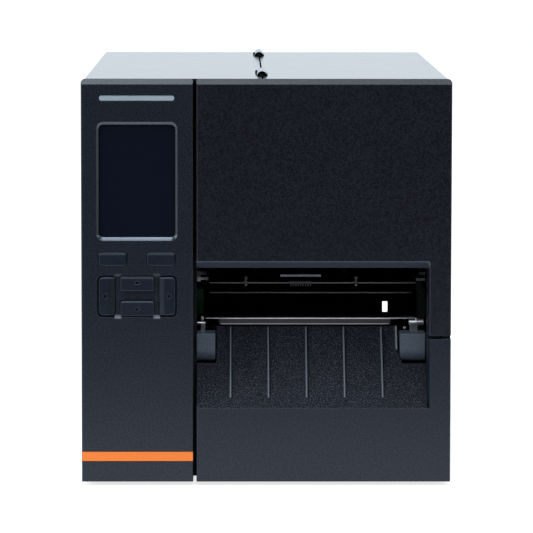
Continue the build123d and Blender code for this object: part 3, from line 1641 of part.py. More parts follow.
# Power inlet with the switch above it, set flush in the rear panel
inlet_centre = left + inlet_x
inlet_x0, inlet_x1 = inlet_centre - inlet_width / 2, inlet_centre + inlet_width / 2
inlet_front = case_depth - inlet_depth
inlet = block(inlet_x0, inlet_x1, inlet_front, case_depth, inlet_bottom, inlet_bottom + inlet_height)
socket_z = inlet_bottom + socket_bottom
half = socket_width / 2
inlet -= slab_y(
    [
        (inlet_centre - half, socket_z), (inlet_centre + half, socket_z),
        (inlet_centre + half, socket_z + socket_height - socket_corner),
        (inlet_centre + half - socket_corner, socket_z + socket_height),
        (inlet_centre - half + socket_corner, socket_z + socket_height),
        (inlet_centre - half, socket_z + socket_height - socket_corner),
    ],
    case_depth - socket_depth, case_depth + overrun,
)
for index in (-1, 0, 1):
    contact_x = inlet_centre + index * pin_pitch
    contact_z = socket_z + pin_raise + (0 if index else pin_raise)
    inlet += block(
        contact_x - pin_width / 2, contact_x + pin_width / 2, case_depth - socket_depth,
        case_depth - socket_depth + pin_length, contact_z - pin_height / 2, contact_z + pin_height / 2,
    )
rocker_z = inlet_bottom + rocker_centre
rocker_y = case_depth - rocker_pivot
rocker_half = rocker_width / 2
inlet -= block(
    inlet_centre - rocker_half - sliding_gap, inlet_centre + rocker_half + sliding_gap,
    case_depth - rocker_pocket, case_depth + overrun, rocker_z - rocker_window_half,
    rocker_z + rocker_window_half,
)
pin_reach = rocker_half + rocker_pin_length
inlet -= rod_x(
    inlet_centre - pin_reach - sliding_gap, inlet_centre + pin_reach + sliding_gap, rocker_y, rocker_z,
    rocker_pin_radius + run_clearance,
)
save("power_inlet", inlet)
rocker = slab_x(
    [
        (rocker_reach, -rocker_half_height), (rocker_waist, 0), (rocker_reach, rocker_half_height),
        (0, rocker_half_height - rocker_pin_radius), (-rocker_root, 0),
        (0, rocker_pin_radius - rocker_half_height),
    ],
    inlet_centre - rocker_half, inlet_centre + rocker_half,
)
rocker = Rot(-rocker_tilt, 0, 0) * rocker
rocker += rod_x(inlet_centre - pin_reach, inlet_centre + pin_reach, 0, 0, rocker_pin_radius)
save("power_switch", Pos(0, rocker_y, rocker_z) * rocker)

# Rear panel with the fan-fold slot, vents and cut-outs
rear = block(sheet_left, sheet_right, rear_inner, case_depth, 0, top)
rear = fillet(
    edges_at(rear, Axis.Y, x=sheet_left, z=top) + edges_at(rear, Axis.Y, x=sheet_right, z=top), bend_radius
)
slot_left = frame_right + slot_start
rear -= pad_y(
    slot_left, bracket_inner_right + slot_reach, slot_bottom, slot_bottom + slot_height, slot_round,
    rear_inner - overrun, case_depth + overrun,
)
rear -= block(
    inlet_x0 - hairline, inlet_x1 + hairline, rear_inner - overrun, case_depth + overrun,
    inlet_bottom - hairline, inlet_bottom + inlet_height + hairline,
)
for port_hole in port_holes:
    rear -= port_hole
for index in range(rear_vent_count):
    vent_z = top - rear_vent_drop + index * rear_vent_pitch
    rear -= block(
        left + rear_vent_left, left + rear_vent_left + vent_length, rear_inner - overrun,
        case_depth + overrun, vent_z, vent_z + vent_width,
    )
save("rear_panel", rear)
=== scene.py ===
import json
from math import cos, pi, radians, sin

import bmesh
import bpy
from mathutils import Matrix, Vector


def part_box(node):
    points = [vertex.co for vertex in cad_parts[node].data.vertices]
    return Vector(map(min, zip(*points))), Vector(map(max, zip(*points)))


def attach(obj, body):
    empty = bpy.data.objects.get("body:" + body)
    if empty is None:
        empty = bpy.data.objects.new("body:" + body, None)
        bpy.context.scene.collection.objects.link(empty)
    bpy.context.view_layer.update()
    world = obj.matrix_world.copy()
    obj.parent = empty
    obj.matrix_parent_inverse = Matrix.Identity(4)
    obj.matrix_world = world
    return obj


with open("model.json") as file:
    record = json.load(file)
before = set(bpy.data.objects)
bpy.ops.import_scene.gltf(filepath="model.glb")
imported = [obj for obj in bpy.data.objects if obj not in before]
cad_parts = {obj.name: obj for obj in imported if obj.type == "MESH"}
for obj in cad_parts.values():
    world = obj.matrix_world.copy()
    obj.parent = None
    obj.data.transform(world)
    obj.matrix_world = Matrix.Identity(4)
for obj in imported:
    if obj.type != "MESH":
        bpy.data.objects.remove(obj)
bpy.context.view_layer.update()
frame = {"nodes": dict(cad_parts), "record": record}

nodes, record = frame["nodes"], frame["record"]
scene = bpy.context.scene
MM = 0.001
MM_PER_METRE = 1000.0
WHITE = (1.0, 1.0, 1.0, 1.0)


def linear(r, g, b):
    """Screen colour, 0 to 255, as the linear colour that the shader takes."""
    out = []
    for value in (r, g, b):
        value /= 255
        out.append(value / 12.92 if value <= 0.04045 else ((value + 0.055) / 1.055) ** 2.4)
    return (*out, 1.0)


# Camera at the photograph's viewing angle
IMAGE_SIDE = 533
FOCAL_PIXELS = 3846.7
SENSOR_WIDTH = 36.0
CLIP_START, CLIP_END = 0.05, 60.0
CAMERA_PLACE = (-0.02148, -2.78150, 0.39742)
YAW, PITCH, ROLL = radians(0.482), radians(5.546), 0.0011466

camera_data = bpy.data.cameras.new("camera")
camera = bpy.data.objects.new("camera", camera_data)
scene.collection.objects.link(camera)
scene.camera = camera
camera_data.sensor_width = SENSOR_WIDTH
camera_data.lens = FOCAL_PIXELS / IMAGE_SIDE * SENSOR_WIDTH
camera_data.clip_start = CLIP_START
camera_data.clip_end = CLIP_END
forward = Vector((sin(YAW) * cos(PITCH), cos(YAW) * cos(PITCH), -sin(PITCH)))
level = Vector((cos(YAW), -sin(YAW), 0))
upward = level.cross(forward)
cam_x = cos(ROLL) * level + sin(ROLL) * upward
cam_y = -sin(ROLL) * level + cos(ROLL) * upward
turn = Matrix((cam_x, cam_y, -forward)).transposed()
camera.matrix_world = Matrix.Translation(CAMERA_PLACE) @ turn.to_4x4()

scene.view_settings.view_transform = "Standard"


class Tree:
    """A node tree with short calls for adding nodes and links."""

    def __init__(self, tree):
        self.tree = tree
        tree.nodes.clear()

    def add(self, kind, inputs=None, **settings):
        node = self.tree.nodes.new(kind)
        for key, value in settings.items():
            setattr(node, key, value)
        for key, value in (inputs or {}).items():
            self.put(node.inputs[key], value)
        return node

    def put(self, socket, value):
        if isinstance(value, bpy.types.NodeSocket):
            self.tree.links.new(value, socket)
        else:
            socket.default_value = value

    def math(self, operation, a, b=0.0):
        return self.add("ShaderNodeMath", {0: a, 1: b}, operation=operation).outputs[0]

    def ramp(self, value, low, high, start=0.0, end=1.0):
        inputs = {0: value, 1: low, 2: high, 3: start, 4: end}
        return self.add("ShaderNodeMapRange", inputs, clamp=True).outputs[0]

    def mix(self, share, a, b):
        node = self.add("ShaderNodeMix", data_type="RGBA")
        self.put(node.inputs[0], share)
        self.put(node.inputs[6], a)
        self.put(node.inputs[7], b)
        return node.outputs[2]

    def vector(self, operation, a, b):
        return self.add("ShaderNodeVectorMath", {0: a, 1: b}, operation=operation).outputs

    def split(self, vector):
        return self.add("ShaderNodeSeparateXYZ", {0: vector}).outputs

    def noise(self, place, scale, detail=2.0, rough=0.5, stretch=None):
        if stretch:
            place = self.add("ShaderNodeMapping", {"Vector": place, "Scale": stretch}).outputs[0]
        inputs = {"Vector": place, "Scale": scale, "Detail": detail, "Roughness": rough}
        return self.add("ShaderNodeTexNoise", inputs).outputs["Fac"]

    def direct_rays(self):
        """1 for rays of the camera, glass and gloss and 0 for soft light, then 1 for rays of gloss alone."""
        path = self.add("ShaderNodeLightPath").outputs
        seen = self.math("MAXIMUM", path["Is Camera Ray"], path["Is Transmission Ray"])
        return self.math("MAXIMUM", seen, path["Is Glossy Ray"]), path["Is Glossy Ray"]


def blank(name):
    """A new material and its emptied node tree."""
    material = bpy.data.materials.new(name)
    material.use_nodes = True
    return material, Tree(material.node_tree)


# Studio: white to the camera and glass, a cool white to gloss, a quiet grey for soft light
SOFT_LEVEL = 0.22
COOL_WHITE = (0.90, 0.955, 1.0, 1.0)

world = bpy.data.worlds.new("studio")
scene.world = world
world.use_nodes = True
t = Tree(world.node_tree)
seen, glossy = t.direct_rays()
strength = t.ramp(seen, 0.0, 1.0, SOFT_LEVEL, 1.0)
background = t.add("ShaderNodeBackground", {"Color": t.mix(glossy, WHITE, COOL_WHITE), "Strength": strength})
t.add("ShaderNodeOutputWorld", {0: background.outputs[0]})


def softbox(name, place, aim, width, height, radiance):
    """A softbox. Its radiance is that of the white it shows, where 1 is the white of the surroundings."""
    data = bpy.data.lights.new(name, "AREA")
    data.shape = "RECTANGLE"
    data.size, data.size_y = width, height
    data.energy = radiance * pi * width * height
    lamp = bpy.data.objects.new(name, data)
    scene.collection.objects.link(lamp)
    lamp.location = place
    lamp.rotation_euler = (Vector(aim) - Vector(place)).to_track_quat("-Z", "Y").to_euler()


for name, place, aim, width, height, radiance in (
    ("softbox_top", (-0.2, -0.5, 1.75), (-0.05, -0.3, 0.2), 1.1, 0.9, 5.4),
    ("softbox_front", (0.25, -2.2, 2.1), (0, -0.2, 0.15), 1.5, 1.5, 3.4),
    ("softbox_left", (-1.9, -1.3, 0.9), (0, -0.1, 0.12), 1.0, 1.2, 5.0),
    ("softbox_right", (2.0, -1.2, 0.9), (0, -0.1, 0.12), 0.8, 1.0, 3.6),
):
    softbox(name, place, aim, width, height, radiance)


def sheet_of(name, corners, material):
    """A flat sheet of the studio, which isn't part of the object."""
    mesh = bpy.data.meshes.new(name)
    mesh.from_pydata(corners, [], [(0, 1, 2, 3)])
    sheet = bpy.data.objects.new(name, mesh)
    scene.collection.objects.link(sheet)
    mesh.materials.append(material)
    return sheet


# Floor: a pale grey that shines by itself to the camera, gloss and glass, so that it fades into the white
FLOOR_GREY = (0.80, 0.80, 0.80, 1.0)
FADE_START, FADE_END = 0.35, 1.8
NEAR_GLOW, FAR_GLOW = 0.74, 0.95
FLOOR_SIDE, FLOOR_FRONT, FLOOR_BACK = 4, -0.52, 7

floor_material, t = blank("floor")
seen, _ = t.direct_rays()
matt = t.add("ShaderNodeBsdfDiffuse", {"Color": FLOOR_GREY})
spot = t.add("ShaderNodeNewGeometry").outputs["Position"]
far = t.add("ShaderNodeVectorMath", {0: spot}, operation="LENGTH").outputs["Value"]
lift = t.ramp(far, FADE_START, FADE_END, NEAR_GLOW, FAR_GLOW)
glow = t.add("ShaderNodeEmission", {"Color": WHITE, "Strength": lift})
both = t.add("ShaderNodeAddShader", {0: matt.outputs[0], 1: glow.outputs[0]})
shown = t.add("ShaderNodeMixShader", {0: seen, 1: matt.outputs[0], 2: both.outputs[0]})
t.add("ShaderNodeOutputMaterial", {0: shown.outputs[0]})
sheet_of("floor", [(-FLOOR_SIDE, FLOOR_FRONT, 0), (FLOOR_SIDE, FLOOR_FRONT, 0), (FLOOR_SIDE, FLOOR_BACK, 0),
                   (-FLOOR_SIDE, FLOOR_BACK, 0)], floor_material)

# Black flags in front and on the right, which only gloss sees and which keep the front faces deep in tone
FLAG_BLACK = (0.01, 0.01, 0.01, 1.0)

flag_material, t = blank("flag")
t.add("ShaderNodeOutputMaterial", {0: t.add("ShaderNodeBsdfDiffuse", {"Color": FLAG_BLACK}).outputs[0]})
for name, corners in (
    ("flag_front", [(-8, -3.4, -2), (8, -3.4, -2), (8, -3.4, 6), (-8, -3.4, 6)]),
    ("flag_right", [(2.8, -3.4, 0.02), (2.8, 0.6, 0.02), (2.8, 0.6, 1.7), (2.8, -3.4, 1.7)]),
):
    flag = sheet_of(name, corners, flag_material)
    flag.visible_camera = flag.visible_diffuse = False
    flag.visible_transmission = flag.visible_shadow = False

# The housing's own millimetres start at its front face and at its base, which stands on feet
HALF_DEPTH, FOOT_HEIGHT = 218.0, 3.0
shell_left, shell_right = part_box("left_cover")[0][0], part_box("cover_shell")[1][0]
shell_top, shell_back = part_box("cover_shell")[1][2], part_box("rear_panel")[1][1]


def at(x, y, z):
    """Place in metres from the housing's own millimetres: right, behind the front face, above the base."""
    return Vector((x, y - HALF_DEPTH, z + FOOT_HEIGHT)) * MM


def patch(x0, x1, y0, y1, z0, z1, tone):
    """A colour and the block of the housing's millimetres that it fills."""
    return at(x0, y0, z0), at(x1, y1, z1), tone


def within(t, place, low, high):
    """1 inside the block between two corners, 0 outside it."""
    away = t.vector("SUBTRACT", place, (low + high) / 2)[0]
    away = t.add("ShaderNodeVectorMath", {0: away}, operation="ABSOLUTE").outputs[0]
    x, y, z = t.split(t.vector("DIVIDE", away, (high - low) / 2)[0])
    return t.math("LESS_THAN", t.math("MAXIMUM", t.math("MAXIMUM", x, y), z), 1.0)


# Noise scales, per metre, of a finish's clouds of colour, rubbed edges with their painted highlight and
# uneven gloss, and the noise values between which each goes from its least to its most
CLOUD_SCALE, RUB_LIT_SCALE, GLOSS_SCALE = 14.0, 60.0, 35.0
CLOUD_RANGE, RUB_LIT_RANGE, GLOSS_RANGE = (0.3, 0.7), (0.3, 0.6), (0.3, 0.7)
RUB_LIT_LEAST = 0.4
# The same for the grain: even grain, or the dark and the bright grains of a sparkling one
GRAIN_RANGE, DARK_RANGE, BRIGHT_RANGE = (0.35, 0.65), (0.25, 0.55), (0.55, 0.72)
# Cosines between the softened and the plain normal at which an edge starts to show rubbing and painted
# highlight, and fully does
RUB_LIT_START, RUB_LIT_FULL = 0.995, 0.80
# Without a colour of its own, a rubbed edge and its painted highlight are the finish's colour times the
# first plus the second
WORN_LIT_GAIN, WORN_LIT_LIFT = 2.6, 0.02
# Depths under the housing's skin, in metres, between which a face turns into an inner one, and its roughness
INNER_START, INNER_FULL, INNER_ROUGH = 0.6 * MM, 0.8 * MM, 0.9
# How squarely a face looks forwards or backwards when it starts to count as an end and fully does
END_START, END_FULL = 0.6, 0.8
BEVEL_SAMPLES = 6
COAT_ROUGH = 0.12


def finish_of(name, colour, rough, metal=0.0, specular=0.5, tint=(0.80, 0.91, 1.0), grain=0.0, pitch=1.0,
              mottle=0.08, speck=0.1, sparkle=0.0, spread=0.05, wear_and_highlight=0.3, wear_and_highlight_colour=None, edge=0.35,
              coat=0.0, stretch=None, inner=None, ends=None, patches=()):
    """A moulded, painted or metal surface with clouds of colour, grain, uneven gloss and rubbed edges,
    which also carry a painted highlight.

    grain is the height of its bumps and pitch their size, both in mm, and stretch their scale along each
    axis. mottle and speck are how far the colour varies in clouds and from grain to grain, sparkle how much
    brighter the scattered bright grains are, and spread how far the roughness varies. The share and colour
    of the rubbed edges say how much of that colour they show, which also paints a highlight on them, and
    edge is the radius of the softened edges in mm. inner colours the faces that look into the housing and
    makes them matt, which partly paints the shade in there; ends colours, as painted shade, the faces that
    look forwards or backwards; and patches are blocks from patch() with colours of their own, here all of
    them painted light and shade."""
    material, t = blank(name)
    place = t.add("ShaderNodeTexCoord").outputs["Object"]
    base = linear(*colour)
    cloudy = t.ramp(t.noise(place, CLOUD_SCALE, 3.0), *CLOUD_RANGE, 1 - mottle, 1 + mottle)
    fine = t.noise(place, MM_PER_METRE / pitch, 1.0, 0.5, stretch)
    if sparkle:
        dots = t.math("ADD", t.ramp(fine, *DARK_RANGE, 1 - speck, 1.0),
                      t.ramp(fine, *BRIGHT_RANGE, 0.0, sparkle))
    else:
        dots = t.ramp(fine, *GRAIN_RANGE, 1 - speck, 1 + speck)
    shade = t.math("MULTIPLY", cloudy, dots)
    paint = t.add("ShaderNodeVectorMath", {0: base[:3], "Scale": shade}, operation="SCALE").outputs[0]
    rounded = t.add("ShaderNodeBevel", {"Radius": edge * MM}, samples=BEVEL_SAMPLES).outputs[0]
    plain = t.add("ShaderNodeNewGeometry").outputs["Normal"]
    if wear_and_highlight:
        bend = t.vector("DOT_PRODUCT", rounded, plain)["Value"]
        rub_and_highlight = t.math("MULTIPLY", t.ramp(bend, RUB_LIT_START, RUB_LIT_FULL),
                     t.ramp(t.noise(place, RUB_LIT_SCALE, 4.0, 0.7), *RUB_LIT_RANGE, RUB_LIT_LEAST))
        if wear_and_highlight_colour:
            worn_and_lit = linear(*wear_and_highlight_colour)
        else:
            worn_and_lit = (*(min(1.0, value * WORN_LIT_GAIN + WORN_LIT_LIFT) for value in base[:3]), 1.0)
        paint = t.mix(t.math("MULTIPLY", rub_and_highlight, wear_and_highlight), paint, worn_and_lit)
    if inner:
        x, y, z = t.split(place)
        depth = t.math("MINIMUM", t.math("SUBTRACT", x, shell_left), t.math("SUBTRACT", shell_right, x))
        depth = t.math("MINIMUM", depth, t.math("SUBTRACT", shell_top, z))
        depth = t.math("MINIMUM", depth, t.math("SUBTRACT", shell_back, y))
        inside = t.ramp(depth, INNER_START, INNER_FULL)
        paint = t.mix(inside, paint, linear(*inner))
        metal = t.ramp(inside, 0.0, 1.0, metal, 0.0)
        coat = t.ramp(inside, 0.0, 1.0, coat, 0.0)
        rough = t.ramp(inside, 0.0, 1.0, rough, INNER_ROUGH)
    if ends:
        facing = t.ramp(t.math("ABSOLUTE", t.split(plain)[1]), END_START, END_FULL)
        paint = t.mix(facing, paint, linear(*ends))
        metal = t.ramp(facing, 0.0, 1.0, metal, 0.0)
    for low, high, tone in patches:
        paint = t.mix(within(t, place, low, high), paint, linear(*tone))
    gloss = t.ramp(t.noise(place, GLOSS_SCALE, 4.0, 0.6), *GLOSS_RANGE, -spread, spread)
    normal = rounded
    if grain:
        bump = {"Strength": 1.0, "Distance": grain * MM, "Height": fine, "Normal": rounded}
        normal = t.add("ShaderNodeBump", bump).outputs[0]
    shader = t.add("ShaderNodeBsdfPrincipled", {
        "Base Color": paint, "Metallic": metal, "Roughness": t.math("ADD", rough, gloss),
        "Specular IOR Level": specular, "Specular Tint": (*tint, 1.0), "Coat Weight": coat,
        "Coat Roughness": COAT_ROUGH, "Normal": normal})
    t.add("ShaderNodeOutputMaterial", {0: shader.outputs[0]})
    return material


# Finishes by material slot
# The second colour is painted shadow for the gaps and wells round the keys; the third is the rubbed edge of
# black steel, which also paints its highlight
BLACK, GAP_SHADOW, WORN_LIT_BLACK = (12, 12, 15), (0, 0, 0), (40, 41, 44)
MOULDED = dict(mottle=0.02, spread=0.015, edge=0.4)
finishes = {
    # Its faces inside the housing turn black and matt, which partly paints the shade in there
    "dark_shell": finish_of("dark_shell", (19, 26, 42), 0.30, metal=0.8, tint=(0.66, 0.84, 1.0), grain=0.003,
                            pitch=0.9, coat=0.80, mottle=0.03, speck=0.05, spread=0.010, edge=0.4,
                            inner=BLACK),
    "dark_moulding": finish_of("dark_moulding", (23, 28, 40), 0.38, specular=0.45, grain=0.06, speck=0.6,
                               **MOULDED),
    "grey_moulding": finish_of("grey_moulding", (73, 84, 97), 0.5, specular=0.35, grain=0.03, speck=0.2,
                               edge=0.3),
    "black_moulding": finish_of("black_moulding", (3, 3, 5), 0.5, specular=0.05, grain=0.015, wear_and_highlight=0.1),
    "orange": finish_of("orange", (247, 135, 62), 0.5, specular=0.2, tint=(1, 1, 1), grain=0.004, speck=0.03,
                        mottle=0.03, wear_and_highlight=0.0, edge=0.2),
    "light": finish_of("light", (151, 170, 183), 0.35, specular=0.4, grain=0.004, speck=0.04, mottle=0.03,
                       wear_and_highlight=0.0),
    "screen": finish_of("screen", (16, 22, 34), 0.06, mottle=0.05, speck=0.02, spread=0.01, wear_and_highlight=0.0),
    "frame_metal": finish_of("frame_metal", (15, 16, 20), 0.5, specular=0.15, grain=0.03, pitch=1.2,
                             wear_and_highlight=0.1),
    "steel": finish_of("steel", (138, 142, 150), 0.34, metal=1.0, grain=0.006, wear_and_highlight=0.0,
                       stretch=(0.08, 1, 1)),
    "black_steel": finish_of("black_steel", (9, 9, 12), 0.45, specular=0.1, grain=0.012,
                             wear_and_highlight_colour=WORN_LIT_BLACK),
    "bright": finish_of("bright", (205, 208, 214), 0.32, metal=1.0, wear_and_highlight=0.0, mottle=0.05, grain=0.01),
    "brass": finish_of("brass", (52, 46, 42), 0.35, metal=1.0, wear_and_highlight=0.0),
    "rubber": finish_of("rubber", (14, 14, 16), 0.75, specular=0.15, grain=0.01, wear_and_highlight=0.0),
    "board": finish_of("board", (16, 68, 34), 0.5, specular=0.2, grain=0.01, wear_and_highlight=0.0),
    "gear": finish_of("gear", (214, 210, 198), 0.45, grain=0.004, wear_and_highlight=0.0),
}

# Tinted pane, hazy in places
HAZE_SCALE, HAZE_LOW, HAZE_HIGH = 20.0, 0.04, 0.08
PANE_SCALE, PANE_DARK, PANE_LIGHT, PANE_ALPHA = 6.0, (14, 17, 21), (18, 21, 25), 0.42
finishes["window"], t = blank("window")
place = t.add("ShaderNodeTexCoord").outputs["Object"]
haze = t.ramp(t.noise(place, HAZE_SCALE, 4.0), *GLOSS_RANGE, HAZE_LOW, HAZE_HIGH)
tint = t.mix(t.noise(place, PANE_SCALE), linear(*PANE_DARK), linear(*PANE_LIGHT))
shader = t.add("ShaderNodeBsdfPrincipled", {"Base Color": tint, "Roughness": haze, "Alpha": PANE_ALPHA})
t.add("ShaderNodeOutputMaterial", {0: shader.outputs[0]})

# Keys: heights of the painted shadow line over each, and of the top of the painted shadow line under it
PAD_TOP, DOWN_TOP, SOFT_TOP = (138.3, 140.5), (122.2, 124.0), (154.4, 155.1)
PAD_FOOT, FOOT_LINE = 112.3, 3
KEY_DEPTH = (-2, 8)
# How far the painted shadow lines reach past a key's sides, the height of the painted highlight along its
# upper edge, and that highlight's colour
LINE_REACH, LIT_HEIGHT = 1, 1.3
LIT_EDGE = (54, 62, 74)
# Painted shade over the left key's right part: where it starts, its heights and its colour
SHADED_FROM, SHADED_HEIGHTS, SHADED_KEY = -105.2, (100, 150), (16, 21, 31)
# Painted shadow line near each soft key's right end: how far in it starts and ends, and its heights
SOFT_END_LINE, SOFT_END_HEIGHTS = (1.9, 1.2), (144, 155.1)


def key_finish(key, over, foot):
    """A key's finish, with painted shadow lines round it, a painted highlight along its upper edge and, on
    the left key, painted shade over its right part.
    """
    lo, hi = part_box(key)
    left_x, right_x = lo.x / MM, hi.x / MM
    line = (left_x - LINE_REACH, right_x + LINE_REACH, *KEY_DEPTH)
    marks = [patch(left_x, right_x, *KEY_DEPTH, over[0] - LIT_HEIGHT, over[0], LIT_EDGE),
             patch(*line, *over, GAP_SHADOW)]
    if foot:
        marks.append(patch(*line, foot - FOOT_LINE, foot, GAP_SHADOW))
    if key == "key_left":
        marks.insert(0, patch(SHADED_FROM, right_x + LINE_REACH, *KEY_DEPTH, *SHADED_HEIGHTS, SHADED_KEY))
    if key.startswith("soft"):
        marks.append(patch(right_x - SOFT_END_LINE[0], right_x - SOFT_END_LINE[1], *KEY_DEPTH,
                           *SOFT_END_HEIGHTS, GAP_SHADOW))
    return finish_of(key + "_moulding", (22, 29, 42), 0.36, specular=0.4, grain=0.015, speck=0.2, edge=1.1,
                     wear_and_highlight=0.35, wear_and_highlight_colour=(88, 96, 110), patches=marks)


# Finishes of single pieces. Their patches, all of them painted light and shade, are, in this order:
# fascia: painted highlight on the bevel over the label opening, on its upper edge and on the right leg's
# edge
# panel: painted shadow in the gaps left, right, over and under the keys, then painted highlights on the
# notches under and over them
# ramp: painted highlight and painted shadow on the two sides of each rib, then a painted highlight on the
# right edge
# tear bar: painted shadow along the top, painted highlight along the foot
# head bar: painted highlight strip. Brackets: painted highlight on the tab, a duller one on the plate over
# it
BLACK_PLATE = dict(specular=0.0, grain=0.01, wear_and_highlight=0.2, wear_and_highlight_colour=WORN_LIT_BLACK)
RIB_PLACES = (-23.6, 2.0, 27.7, 53.3, 78.9)
NOTCH_PLACES, NOTCH_HALF = (-99.5, -73.6), 2.3
# Hinge steel: its faces looking forwards and backwards, the barrels' ends, are near-black painted shade
hinge_steel = finish_of("hinge_steel", (138, 145, 155), 0.16, metal=1.0, specular=0.05, grain=0.002,
                        wear_and_highlight=0.0, speck=0.03, mottle=0.03, spread=0.02, edge=0.3, ends=(6, 6, 8))
own_finishes = {
    **{key: key_finish(key, over, foot) for key, over, foot in (
        ("key_left", PAD_TOP, PAD_FOOT), ("key_right", PAD_TOP, PAD_FOOT), ("key_up", PAD_TOP, None),
        ("key_down", DOWN_TOP, PAD_FOOT), ("soft_key_left", SOFT_TOP, None),
        ("soft_key_right", SOFT_TOP, None))},
    "cover_fascia": finish_of(
        "fascia_moulding", (15, 16, 26), 0.42, specular=0.42, grain=0.09, pitch=1.15, speck=0.8, **MOULDED,
        patches=[patch(-47, 109.6, -1, 4.9, 143.9, 149.1, (39, 46, 59)),
                 patch(-47, 109.6, -1, 1.5, 148.1, 149.1, (62, 71, 86)),
                 patch(108.9, 109.8, -1, 1.2, 96, 148.1, (78, 86, 99))]),
    "control_panel": finish_of(
        "panel_moulding", (23, 28, 40), 0.38, specular=0.45, grain=0.06, speck=0.65, **MOULDED,
        patches=[patch(-115.5, -113.1, 0.35, 8, 109, 142, GAP_SHADOW),
                 patch(-60.1, -57.5, 0.35, 8, 109, 142, GAP_SHADOW),
                 patch(-115.5, -57.5, 0.35, 8, 139.4, 142, GAP_SHADOW),
                 patch(-115.5, -57.5, 0.35, 8, 109, 111.5, GAP_SHADOW)]
        + [patch(x - NOTCH_HALF, x + NOTCH_HALF, -1, 8, low, high, tone) for x in NOTCH_PLACES
           for low, high, tone in ((110.4, 112.6, (112, 121, 133)), (138.3, 140.5, (80, 88, 101)))]),
    "exit_ramp": finish_of(
        "ramp_face", (26, 28, 35), 0.60, specular=0.08, grain=0.4, pitch=0.45, speck=1.0, sparkle=9.0,
        edge=0.3, wear_and_highlight_colour=(120, 132, 146),
        patches=[patch(x + left, x + right, 6, 45, 50, 100.5, tone) for x in RIB_PLACES
                 for left, right, tone in ((-0.9, 0.1, (104, 112, 124)), (0.1, 0.9, (3, 3, 5)))]
        + [patch(88.1, 89.3, 20, 47, 86, 100.5, (122, 131, 144))]),
    "printhead": finish_of("printhead_steel", (1, 1, 2), 0.6, specular=0.0, wear_and_highlight=0.0),
    "platen_shaft": finish_of("platen_steel", (44, 44, 47), 0.4, metal=1.0, wear_and_highlight=0.0, grain=0.004),
    "tear_bar": finish_of(
        "tear_steel", (72, 70, 74), 0.45, metal=0.8, specular=0.3, grain=0.004, speck=0.08, edge=0.5,
        wear_and_highlight=0.9, wear_and_highlight_colour=(165, 169, 176), stretch=(0.05, 1, 1),
        patches=[patch(-60, 120, 43, 60, 106.3, 108, (6, 7, 10)),
                 patch(-60, 120, 43, 60, 101.5, 102.4, (150, 153, 160))]),
    "head_front_bar": finish_of("head_bar_steel", (3, 3, 4), 0.60, **BLACK_PLATE,
                                patches=[patch(9.5, 38.2, 40, 60, 134.0, 136.4, (186, 194, 208))]),
    "hinge_leaves_fixed": hinge_steel,
    "hinge_leaves_cover": hinge_steel,
    "mech_bracket_left": finish_of("left_bracket_steel", (3, 3, 4), 0.60, **BLACK_PLATE,
                                   patches=[patch(-50, -36, 60, 66, 129.0, 132.2, (236, 240, 248)),
                                            patch(-50, -36, 60, 66, 132.3, 136.0, (118, 122, 130))]),
    "mech_bracket_right": finish_of("right_bracket_steel", (3, 3, 4), 0.60, **BLACK_PLATE,
                                    patches=[patch(98, 115, 60, 66, 128.5, 132.0, (142, 148, 158)),
                                             patch(105.0, 115, 60, 66, 132.1, 136.0, (108, 113, 122))]),
}

for row in record["subparts"]:
    mesh = nodes[row["node"]].data
    mesh.materials.clear()
    mesh.materials.append(own_finishes.get(row["node"]) or finishes[row["material_slot"]])


# Softest angle that still makes a crease, steps round a rod's end and segments of a rounded edge
CREASE_ANGLE, END_STEPS, EDGE_SEGMENTS = 35, 4, 2


